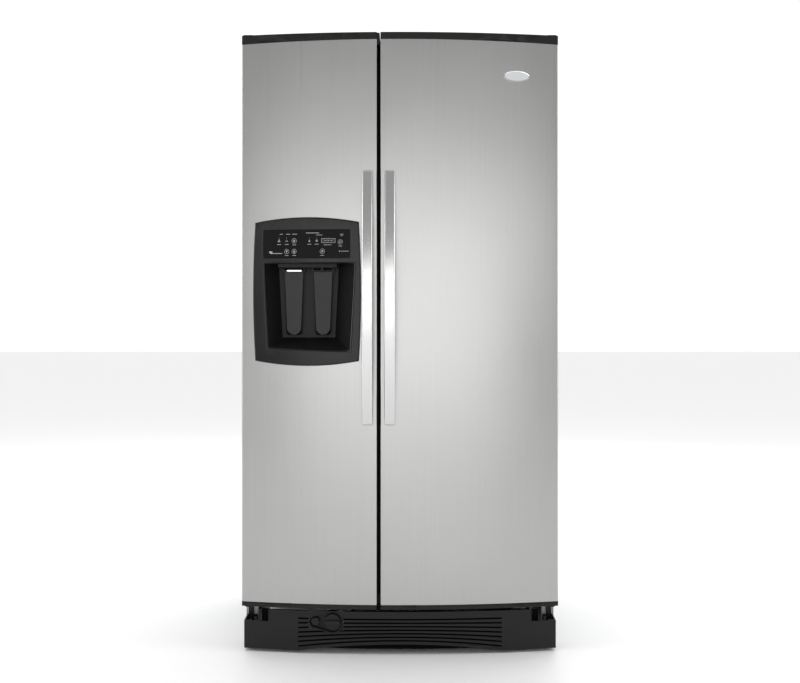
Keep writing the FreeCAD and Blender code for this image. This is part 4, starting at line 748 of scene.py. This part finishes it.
@dataclass
class PanelPrint:
    """The signs printed on the panel and on its keys. Sizes in millimetres."""

    bow: Bow = field(default_factory=Bow)
    sheet_proud: float = 6.0
    key_proud: float = 6.8
    thickness: float = 0.3
    ring_wire: float = 0.45
    key_ring: float = 6.6
    line: tuple[float, float] = (11, 1.3)
    key_line_drop: float = 11.5
    light_line_drop: float = 10.0
    light_dot_rise: float = 8.0
    light_dot: float = 1.6
    display_frame: float = 0.8
    display_inset: float = 1.2
    display_sunk: float = 0.05
    segment: tuple[float, float] = (4.5, 1.1)
    segment_steps: tuple = (-9, 0, 9)
    segment_proud: float = 0.1
    keys: tuple = (
        ("dispense_key", Glyph.GLASS),
        ("light_key", Glyph.LAMP),
        ("lock_key", Glyph.LOCK),
        ("fast_ice_key", Glyph.FAN),
        ("filter_reset_key", Glyph.FILTER),
    )
    lights: tuple = (
        (-344, 1174, Glyph.CUBES),
        (-322, 1174, Glyph.CRUSHED),
        (-257, 1174, Glyph.DROP),
        (-236, 1174, Glyph.FAN),
    )
    labels: tuple = (  # x, z, width, height
        (-338, 1193, 9, 1.4),
        (-318, 1193, 12, 1.4),
        (-299, 1193, 14, 1.4),
        (-248, 1196, 38, 1.6),
        (-229, 1190, 18, 1.2),
        (-205, 1162, 22, 1.2),
        (-165, 1192, 10, 1.2),
        (-165, 1188, 7, 1.2),
        (-368, 1142, 9, 5.0),
        (-352, 1138.5, 34, 1.8),
        (-171, 1144, 3, 3),
        (-156, 1144, 22, 1.4),
    )
    display: tuple[float, float, float, float] = (-203, 1174, 39, 12)
    frame_proud: float = 8.0
    frame_bars: tuple = ((-236, 1117.5, 44, 1.6), (-190, 1117.5, 30, 1.6))

    def shape(self, kind: str, x: float, z: float, wide: float, high: float, turn: float, proud: float) -> Object:
        """Adds one flat shape that lies on the curve.

        Args:
            kind: "disc", "ring" or "tile".
            x: its place across the front.
            z: its height over the floor.
            wide: its width.
            high: its height.
            turn: its turn in its own plane, in degrees.
            proud: how far the surface it lies on stands ahead of the doors' curve.

        Returns:
            The shape.
        """
        lean = self.bow.lean(x)
        centre = (x, self.bow.front(x, proud), z)
        if kind == "tile":
            return add_tile("print", centre, (wide, self.thickness, high), (0, turn, lean))
        if kind == "ring":
            return add_ring("print", centre, wide / 2, self.ring_wire, (90, 0, lean))
        return add_rod("print", centre, wide / 2, self.thickness, (90, 0, lean), 20)

    def glyph(self, glyph: Glyph, x: float, z: float, proud: float) -> list[Object]:
        """Adds a sign's shapes round a point of the panel."""
        return [self.shape(kind, x + dx, z + dz, w, h, turn, proud) for kind, dx, dz, w, h, turn in glyph.value]

    def print_panel(self) -> None:
        """Prints the lights with their lines and dots, the labels, the display's frame and the keys' lines."""
        proud = self.sheet_proud
        shapes: list[Object] = []
        for x, z, sign in self.lights:
            shapes += self.glyph(sign, x, z, proud)
            shapes.append(self.shape("tile", x, z - self.light_line_drop, *self.line, 0, proud))
            shapes.append(self.shape("disc", x, z + self.light_dot_rise, self.light_dot, self.light_dot, 0, proud))
        for x, z, wide, high in self.labels:
            shapes.append(self.shape("tile", x, z, wide, high, 0, proud))
        x, z, wide, high = self.display
        for side in (-1, 1):
            shapes.append(self.shape("tile", x, z + side * high / 2, wide, self.display_frame, 0, proud))
            shapes.append(self.shape("tile", x + side * wide / 2, z, self.display_frame, high, 0, proud))
        for step in self.segment_steps:
            shapes.append(self.shape("tile", x + step, z, *self.segment, 0, proud + self.segment_proud))
        for node, _ in self.keys:
            middle = sum(corners(node), Vector()) / 2
            shapes.append(self.shape("tile", middle.x, middle.z - self.key_line_drop, *self.line, 0, proud))
        place(join("panel_print", shapes), "freezer_door", "white_liner", INK)

    def build_display(self) -> None:
        """The display's glass, within its printed frame."""
        x, z, wide, high = self.display
        inset = self.display_inset
        glass = self.shape("tile", x, z, wide - inset, high - inset, 0, self.sheet_proud - self.display_sunk)
        round_edges(glass, 0.1, 1)
        place(join("panel_display", [glass]), "freezer_door", "gloss_black", DISPLAY)

    def print_keys(self) -> None:
        """Prints a sign and a ring on each key, which ride on the key."""
        for node, sign in self.keys:
            middle = sum(corners(node), Vector()) / 2
            marks = self.glyph(sign, middle.x, middle.z, self.key_proud)
            marks.append(self.shape("ring", middle.x, middle.z, 2 * self.key_ring, 0, 0, self.key_proud))
            place(join(node + "_print", marks), node, "white_liner", INK)

    def build(self) -> None:
        """Prints the panel, the frame's lip, the display and the keys."""
        self.print_panel()
        bars = [self.shape("tile", *bar, 0, self.frame_proud) for bar in self.frame_bars]
        place(join("frame_print", bars), "freezer_door", "white_liner", FAINT_INK)
        self.build_display()
        self.print_keys()


@dataclass
class Dispenser:
    """The dispenser in the freezer door: frame, panel, keys, recess, spouts and levers. Sizes in millimetres."""

    bow: Bow = field(default_factory=Bow)
    proud: float = 8.0
    outer_edge: float = 4.0
    mouth_edge: float = 4.5
    window_edge: float = 1.6
    lever_foot: float = 9.0
    lever_narrow: float = 0.8
    lever_side: float = 5.0
    lever_top: float = 12.0
    plate_ahead: float = 2.5
    plate_thick: float = 4.0
    pad_rim: float = 4.0
    pad_depth: float = 0.8
    board_depth: float = 3.0
    lip_left: float = 14.0
    lip_right: float = 4.0
    lip_ahead: float = 5.0
    lip_behind: float = 20.0
    lip_low: float = 1.0
    lip_high: float = 7.0
    lip_corner: float = 4.5
    lip_edge: float = 1.4

    def build_frame(self) -> None:
        """The frame: rolled outer edge, wide chamfers down the mouth's sides, fine ones round the panel."""
        frame_piece = copy_node("dispenser_bezel", "dispenser_frame")
        mouth_low, mouth_high = corners("dispenser_recess")
        panel_low, panel_high = corners("control_panel")

        def on_face(middle: Vector) -> bool:
            """Whether a point lies on the frame's front."""
            return abs(middle.y / MM - self.bow.front(middle.x / MM, self.proud)) < 0.4

        def inside(middle: Vector, a: Vector, b: Vector, spare: float) -> bool:
            """Whether a point lies between two corners, seen from the front."""
            across, up = middle.x / MM, middle.z / MM
            return a.x - spare < across < b.x + spare and a.z - spare < up < b.z + spare

        def mouth(middle: Vector, along: Vector) -> bool:
            """Whether an edge runs round the mouth."""
            return on_face(middle) and inside(middle, mouth_low, mouth_high, 9)

        def window(middle: Vector, along: Vector) -> bool:
            """Whether an edge runs round the panel."""
            return on_face(middle) and inside(middle, panel_low, panel_high, 2)

        def outline(middle: Vector, along: Vector) -> bool:
            """Whether an edge runs round the frame's outside."""
            return on_face(middle) and not mouth(middle, along) and not window(middle, along)

        round_edges(frame_piece, self.outer_edge, 5, 40, outline)
        round_edges(frame_piece, self.window_edge, 2, 40, window)
        round_edges(frame_piece, self.mouth_edge, 3, 40, mouth)
        place(frame_piece, "freezer_door", "gloss_black", GLOSS_BLACK, "dispenser_bezel")

    def build_panel(self) -> None:
        """The printed panel, with the circuit board behind it."""
        panel = copy_node("control_panel", "dispenser_panel")
        round_edges(panel, 0.5, 2, 60)
        board_front = corners("control_panel")[1].y - self.board_depth

        def on_board(middle: Vector, normal: Vector) -> bool:
            """Whether a face belongs to the circuit board."""
            return middle.y / MM > board_front

        place(panel, "freezer_door", "gloss_black", PANEL, "control_panel", repainted=(BOARD, on_board))
        for node, _ in PanelPrint().keys:
            key = copy_node(node, node + "_cap")
            round_edges(key, 0.6, 2, 50)
            place(key, node, "gloss_black", PANEL, node)
        PanelPrint().build()

    def build_well(self) -> None:
        """The recess and the block over the levers, with a bright lip round the ice outlet."""
        Softened("dispenser_recess", "black_plastic", 2.0, 3, 40, BLACK_PLASTIC).build()
        Softened("dispenser_spouts", "black_plastic", 0.8, 2, 40, BLACK_PLASTIC).build()
        left, right = (corner.x for corner in corners("ice_paddle"))
        _, front, foot = corners("dispenser_spouts")[0]
        lip = add_block(
            "ice_outlet_lip",
            (left + self.lip_left, front - self.lip_ahead, foot + self.lip_low),
            (right - self.lip_right, front + self.lip_behind, foot + self.lip_high),
        )

        def upright(middle: Vector, along: Vector) -> bool:
            """Whether an edge is one of the lip's two upright front corners."""
            return abs(along.z) > 0.9 * along.length and middle.y / MM < front

        round_edges(lip, self.lip_corner, 5, 60, upright)
        round_edges(lip, self.lip_edge, 3, 60)
        place(lip, "freezer_door", "stainless_steel", CHROME)

    def build_lever(self, node: str) -> None:
        """A lever, and the soft pad on its front: narrower at its rounded foot, with a raised rim."""
        low, high = corners(node)
        half, across = (high.x - low.x) / 2 - self.lever_side, (low.x + high.x) / 2
        front_y = low.y + self.plate_ahead
        plate = add_block(
            "plate_tool",
            (across - half, front_y, low.z),
            (across + half, front_y + self.plate_thick, high.z - self.lever_top),
        )
        select_faces(plate, facing(0, 0, -1))
        bpy.ops.transform.resize(value=(self.lever_narrow, 1, 1), center_override=(across * MM, 0, low.z * MM))

        def foot_corner(middle: Vector, along: Vector) -> bool:
            """Whether an edge is one of the plate's two lower corners."""
            return abs(along.y) > 0.9 * along.length and middle.z / MM < low.z + 1

        deselect()
        round_edges(plate, self.lever_foot, 6, 60, foot_corner)
        select_faces(plate, facing(0, -1, 0))
        bpy.ops.mesh.inset(thickness=self.pad_rim * MM)
        bpy.ops.transform.translate(value=(0, self.pad_depth * MM, 0))
        deselect()
        round_edges(plate, 0.35, 2, 50)
        place(copy_node(node, node + "_lever"), node, "gloss_black", GLOSS_BLACK, node)
        place(join(node + "_pad", [plate]), node, "gloss_black", PAD_RUBBER)

    def build(self) -> None:
        """Builds the whole dispenser."""
        self.build_frame()
        self.build_panel()
        self.build_well()
        for node in ("ice_paddle", "water_paddle"):
            self.build_lever(node)


@dataclass
class Badge:
    """The plain oval badge on the fridge door: chromed rim, pale face, a dark stroke. Sizes in millimetres."""

    bow: Bow = field(default_factory=Bow)
    x: float = 332.0
    z: float = 1643.0
    wide: float = 76.0
    high: float = 31.0
    depth: float = 3.0
    sunk: float = 0.4
    rim: float = 2.6
    field_depth: float = 0.9
    stroke_sunk: float = 0.55
    strokes: tuple = (((-3, 0, 0), (20, 0.8, 2.4)), ((8, 1.6, 2.6), (7, 0.8, 2.0)))
    stroke_turn: float = -6.0

    def build(self) -> None:
        """Builds the rim, the face and the stroke."""
        lean = self.bow.lean(self.x)
        centre = (self.x, self.bow.front(self.x) - self.depth / 2 + self.sunk, self.z)
        stretch = (1, self.high / self.wide, 1)
        badge = add_rod("badge", centre, self.wide / 2, self.depth, (90, 0, lean), 64, stretch)
        select_faces(badge, facing(0, -1, 0))
        bpy.ops.mesh.inset(thickness=self.rim * MM)
        bpy.ops.transform.translate(value=(0, self.field_depth * MM, 0))
        deselect()
        round_edges(badge, 0.7, 3, 40)
        half_x, half_z = (self.wide / 2 - self.rim) * MM, (self.high / 2 - self.rim) * MM

        def field_face(middle: Vector, normal: Vector) -> bool:
            """Whether a face belongs to the badge's sunk field."""
            across, up = middle.x - self.x * MM, middle.z - self.z * MM
            return normal.y < -0.9 and (across / half_x) ** 2 + (up / half_z) ** 2 < 0.95

        place(badge, "fridge_door", "stainless_steel", CHROME, repainted=(BADGE_ENAMEL, field_face))
        start = Vector((self.x, centre[1] - self.stroke_sunk, self.z))
        stroke = [
            add_tile("badge_stroke", start + Vector(offset), size, (0, self.stroke_turn, lean))
            for offset, size in self.strokes
        ]
        for tile in stroke:
            round_edges(tile, 0.25, 2)
        place(join("badge_stroke", stroke), "fridge_door", "gloss_black", GLOSS_BLACK)


# ---------------------------------------------------------------- grille, hinges and cabinet


@dataclass
class Base:
    """What stands on the floor: grille, filter cap and button, feet, rollers, frame, and a dark sheet of painted shade
    behind the louvres. Sizes in millimetres.
    """

    rounded: tuple = (
        Softened("base_grille", "black_plastic", 0.7, 2, 40),
        Softened("filter_cap", "black_plastic", 1.6, 3, 40),
        Softened("eject_button", "black_plastic", 0.8, 2, 40),
        Softened("levelling_foot_left", "nylon", 1.0, 2, 40),
        Softened("levelling_foot_right", "nylon", 1.0, 2, 40),
        Softened("rear_roller_left", "nylon", 1.0, 2, 40),
        Softened("rear_roller_right", "nylon", 1.0, 2, 40),
        Softened("base_frame", "galvanised_steel", 0.8, 2, 60),
    )
    bow: Bow = field(default_factory=Bow)
    shade_sheet_back: float = 24.0
    shade_sheet_thick: float = 1.5
    shade_sheet_half: float = 398.0
    shade_sheet_low: float = 13.0
    shade_sheet_high: float = 119.0
    filter_port: tuple = ((-264.0, 64.0), (-160.0, 130.0))
    ahead: float = -400.0
    behind: float = -200.0

    def build_shade_sheet(self) -> None:
        """A bent dark sheet behind the louvres, put there as painted shade so the slots read black."""
        half = self.shade_sheet_half
        sheet = add_block("slot_shade_sheet", (-half, self.ahead, self.shade_sheet_low), (half, self.behind, self.shade_sheet_high))
        boolean(sheet, self.bow.cylinder("shade_sheet_front", -self.shade_sheet_back), "INTERSECT")
        boolean(sheet, self.bow.cylinder("shade_sheet_rear", -self.shade_sheet_back - self.shade_sheet_thick), "DIFFERENCE")
        (left, low), (right, high) = self.filter_port
        boolean(sheet, add_block("port", (left, self.ahead, low), (right, self.behind, high)), "DIFFERENCE")
        # The sheet's dark rubber finish is painted shade in the grille's slots.
        place(sheet, "root", "black_plastic", PAD_RUBBER)

    def build(self) -> None:
        """Builds each piece from its node, and the dark sheet of painted shade behind them."""
        build_all(self.rounded)
        self.build_shade_sheet()


@dataclass
class Seam:
    """What fills the seam between the doors: a dark strip on the cabinet and a dark stop on the freezer door's top.
    They stand for a black centre rail and a bumper, and are dark to paint the shade that falls in the deep gap.

    Sizes in millimetres.
    """

    strip_half: float = 7.0
    strip_depth: float = 9.0
    strip_sunk: float = 0.2
    strip_short: float = 1.0
    strip_edge: float = 2.0
    stop_length: float = 105.0
    stop_back: float = 4.0
    stop_drop: float = 34.0
    stop_sunk: float = 0.5
    stop_gap: float = 2.0
    stop_short: float = 0.5
    stop_edge: float = 1.6

    def build(self) -> None:
        """Builds the strip and the stop."""
        left, back, _ = corners("freezer_door_skin")[1]
        right = corners("fridge_door_skin")[0].x
        cabinet_low, cabinet_high = corners("cabinet_shell")
        middle = (left + right) / 2
        strip = add_block(
            "mullion_shade_strip",
            (middle - self.strip_half, cabinet_low.y - self.strip_depth, corners("freezer_door_gasket")[0].z),
            (middle + self.strip_half, cabinet_low.y + self.strip_sunk, cabinet_high.z - self.strip_short),
        )
        round_edges(strip, self.strip_edge, 3, 60)
        # Dark rubber on the strip: a black centre rail, and painted shade in the seam.
        place(strip, "root", "gasket_rubber", RUBBER)
        door_top = corners("freezer_door_caps")[1].z
        stop = add_block(
            "seam_shade_stop",
            (left - self.stop_sunk, back - self.stop_length, door_top - self.stop_drop),
            (right - self.stop_gap, back - self.stop_back, door_top - self.stop_short),
        )
        round_edges(stop, self.stop_edge, 3, 60)
        # Dark rubber on the stop: a bumper, and painted shade at the top of the seam.
        place(stop, "freezer_door", "gasket_rubber", RUBBER)


@dataclass
class Screws:
    """Pan-head screws with a cross recess, modelled once and copied. Sizes in millimetres."""

    radius: float = 4.5
    head: float = 2.5
    pin_x: float = 438.0
    top_z: float = 1769.5
    top_ys: tuple = (-232.0, -210.0, -188.0)
    low_y: float = -249.5
    low_zs: tuple = (48.0, 70.0)
    crown: float = 1.4
    cross: tuple = ((5.2, 0.9, 2.4), (0.9, 5.2, 2.4))

    def model(self) -> Object:
        """One screw head that stands on the origin and points up."""
        head = add_rod("screw", (0, 0, self.head / 2), self.radius, self.head, sides=28)

        def rim(middle: Vector, along: Vector) -> bool:
            """Whether an edge runs round the head's top."""
            return middle.z / MM > self.head - 0.1

        round_edges(head, self.crown, 4, 40, rim)
        for size in self.cross:
            boolean(head, add_tile("cross_tool", (0, 0, self.head), size), "DIFFERENCE")
        return head

    def build(self) -> None:
        """Sets the screws on the top hinge plates and the lower brackets."""
        model = self.model()
        copies: list[Object] = []
        for side in (-1, 1):
            spots = [((side * self.pin_x, y, self.top_z), 0) for y in self.top_ys]
            spots += [((side * self.pin_x, self.low_y, z), 90) for z in self.low_zs]
            for spot, turn in spots:
                copy = bpy.data.objects.new("screw", model.data.copy())
                bpy.context.scene.collection.objects.link(copy)
                copy.location = [v * MM for v in spot]
                copy.rotation_euler = (math.radians(turn), 0, 0)
                activate(copy)
                bpy.ops.object.transform_apply(location=True, rotation=True, scale=True)
                copies.append(copy)
        bpy.data.objects.remove(model, do_unlink=True)
        place(join("hinge_screw_heads", copies), "root", "galvanised_steel", ZINC, "hinge_screws")


@dataclass
class Cabinet:
    """The cabinet's outside: painted shell, rear panel, machine cover and hinges. Sizes in millimetres."""

    corner: float = 3.0
    rounded: tuple = (
        Softened("top_hinges", "galvanised_steel", 0.8, 2, 50),
        Softened("bottom_hinges", "black_enamel", 0.8, 2, 50),
        Softened("hinge_covers", "cap_plastic", 1.4, 3, 30),
        Softened("machine_cover", "galvanised_steel", 0.5, 2, 50),
    )
    field_rim: float = 34.0
    field_depth: float = 1.0
    field_edge: float = 0.6

    def build_shell(self) -> None:
        """The shell, with its long outer edges rolled over."""
        shell = copy_node("cabinet_shell", "cabinet_wrap")
        low, high = corners("cabinet_shell")

        def outer(middle: Vector, along: Vector) -> bool:
            """Whether an edge is one of the shell's long outer corners."""
            side = min(abs(middle.x / MM - low.x), abs(middle.x / MM - high.x)) < 0.1
            return side and abs(middle.z / MM - high.z) < 0.1 and along.length > 30 * MM

        round_edges(shell, self.corner, 4, 60, outer)
        place(shell, "root", "grey_paint", PAINT, "cabinet_shell")

    def build_back(self) -> None:
        """The rear panel, with two shallow fields pressed into it to stiffen it."""
        low, high = corners("back_panel")
        panel = add_block("rear_panel", low, high)
        select_faces(panel, anywhere)
        bpy.ops.mesh.bisect(plane_co=(0, 0, (low.z + high.z) / 2 * MM), plane_no=(0, 0, 1))
        select_faces(panel, facing(0, 1, 0))
        bpy.ops.mesh.inset(thickness=self.field_rim * MM, use_individual=True)
        bpy.ops.transform.translate(value=(0, -self.field_depth * MM, 0))
        deselect()
        round_edges(panel, self.field_edge, 2, 40)
        place(panel, "root", "galvanised_steel", ZINC, "back_panel")

    def build(self) -> None:
        """Builds the outside."""
        self.build_shell()
        self.build_back()
        build_all(self.rounded)


# ---------------------------------------------------------------- inside


@dataclass
class Inside:
    """Shelves, drawers, ice parts and filter."""

    rounded: tuple = (
        Softened("shelf_glass", "shelf_glass", 0.8, 2, 60),
        Softened("shelf_frames", "white_liner", 1.2, 2, 60, WHITE_ABS),
        Softened("crisper_lower", "clear_plastic", 1.2, 2, 50),
        Softened("crisper_upper", "clear_plastic", 1.2, 2, 50),
        Softened("ice_bin", "clear_plastic", 1.2, 2, 50),
        Softened("ice_maker", "white_liner", 2.5, 3, 50, WHITE_ABS),
        Softened("evaporator_cover", "white_liner", 1.2, 2, 50),
        Softened("filter_cartridge", "white_liner", 0.8, 2, 50, WHITE_ABS),
        Softened("filter_housing", "white_liner", 0.8, 2, 50, WHITE_ABS),
    )

    def build(self) -> None:
        """Builds each piece from its node."""
        build_all(self.rounded)


@dataclass
class Machinery:
    """What stands in the machine space."""

    rounded: tuple = (
        Softened("compressor", "black_enamel", 2.0, 3, 50),
        Softened("drain_pan", "black_plastic", 1.5, 2, 50),
        Softened("condenser_fan_motor", "black_plastic", 0.8, 2, 50),
        Softened("condenser_fan", "black_plastic", 0.5, 2, 50),
    )

    def build(self) -> None:
        """Builds each piece from its node."""
        build_all(self.rounded)


# ---------------------------------------------------------------- the rest, from the frame


@dataclass
class Carried:
    """CAD nodes whose shape is right as it is: they only get their finish."""

    def build(self) -> None:
        """Dresses every CAD node by its material slot."""
        for name, node in frame["nodes"].items():
            slot = node.material_slots[0].name if node.material_slots else ""
            finish = SLOT_FINISHES.get(slot.split(".")[0])
            if finish is None:
                log.warning("%s has no finish (%s)", name, slot)
                continue
            dress(node, finish)


# ---------------------------------------------------------------- studio


@dataclass
class Studio:
    """Floor, lights and camera. Sizes in metres, light in watts."""

    floor_size: float = 60.0
    camera_y: float = -3.72
    camera_z: float = 0.955
    lens: float = 53.35
    shift: float = -0.0294
    front_wall: str = "a6a6a6"

    def light(
        self, name: str, at: Sequence[float], towards: Sequence[float], size: Sequence[float], power: float
    ) -> None:
        """Adds a soft rectangular light that faces a point."""
        data = bpy.data.lights.new(name, "AREA")
        data.shape, data.size, data.size_y, data.energy = "RECTANGLE", size[0], size[1], power
        lamp = bpy.data.objects.new(name, data)
        lamp.location = at
        lamp.rotation_euler = (Vector(towards) - Vector(at)).to_track_quat("-Z", "Y").to_euler()
        bpy.context.scene.collection.objects.link(lamp)

    def build_floor(self) -> None:
        """A plain pale floor."""
        deselect()
        bpy.ops.mesh.primitive_plane_add(size=self.floor_size, location=(0, 0, 0))
        floor = settle("studio_floor")
        dress(floor, FLOOR)

    def build_lights(self) -> None:
        """Two wide soft lights before the doors, one overhead, one at each side and one behind."""
        self.light("front_high_light", (0, -5.2, 1.6), (0, -0.3, 1.4), (6.8, 0.8), 31)
        self.light("front_low_light", (0, -5.2, 0.8), (0, -0.3, 0.8), (4.2, 0.9), 21)
        self.light("top_light", (0, 1.6, 4.4), (0, 1.8, 0), (5.0, 3.0), 60)
        self.light("left_light", (-4.4, -1.2, 1.6), (0, 0, 0.9), (1.2, 2.8), 48)
        self.light("right_light", (4.4, -1.2, 1.6), (0, 0, 0.9), (1.2, 2.8), 48)
        self.light("rear_light", (0.8, 4.6, 2.8), (0, 0, 0.8), (3.0, 2.0), 40)

    def build_room(self) -> None:
        """A white room whose wall before the doors is grey above the light."""
        world = bpy.data.worlds.new("pale_room")
        bpy.context.scene.world = world
        world.use_nodes = True
        tree = world.node_tree
        tree.nodes.clear()
        way = add_node(tree, "ShaderNodeTexCoord")
        split = add_node(tree, "ShaderNodeSeparateXYZ", {0: (way, "Generated")})
        share = add_node(
            tree,
            "ShaderNodeMapRange",
            {"Value": (split, 1), "From Min": 0.0, "From Max": -0.7, "To Min": 0.0, "To Max": 1.0},
            interpolation_type="SMOOTHSTEP",
        )
        colour = add_node(
            tree,
            "ShaderNodeMix",
            {0: (share, 0), 6: linear("ffffff"), 7: linear(self.front_wall)},
            data_type="RGBA",
        )
        wall = add_node(tree, "ShaderNodeBackground", {"Color": (colour, 2), "Strength": 1.1})
        add_node(tree, "ShaderNodeOutputWorld", {"Surface": (wall, 0)})
        bpy.context.scene.view_settings.view_transform = "Standard"

    def build_camera(self) -> None:
        """A level camera at the middle of the doors' height."""
        data = bpy.data.cameras.new("camera")
        data.lens, data.sensor_width, data.shift_y = self.lens, 36.0, self.shift
        camera = bpy.data.objects.new("camera", data)
        camera.location = (0, self.camera_y, self.camera_z)
        camera.rotation_euler = (math.radians(90), 0, 0)
        bpy.context.scene.collection.objects.link(camera)
        bpy.context.scene.camera = camera

    def build(self) -> None:
        """Builds the studio."""
        self.build_camera()
        self.build_floor()
        self.build_lights()
        self.build_room()


def main() -> None:
    """Builds the studio and then the refrigerator, sub-assembly by sub-assembly."""
    logging.basicConfig(level=logging.INFO, format="%(message)s")
    Studio().build()
    Carried().build()
    for side in ("freezer", "fridge"):
        Door(side).build()
    for assembly in (Dispenser(), Badge(), Base(), Seam(), Screws(), Cabinet(), Inside(), Machinery()):
        assembly.build()


if __name__ == "__main__":
    main()
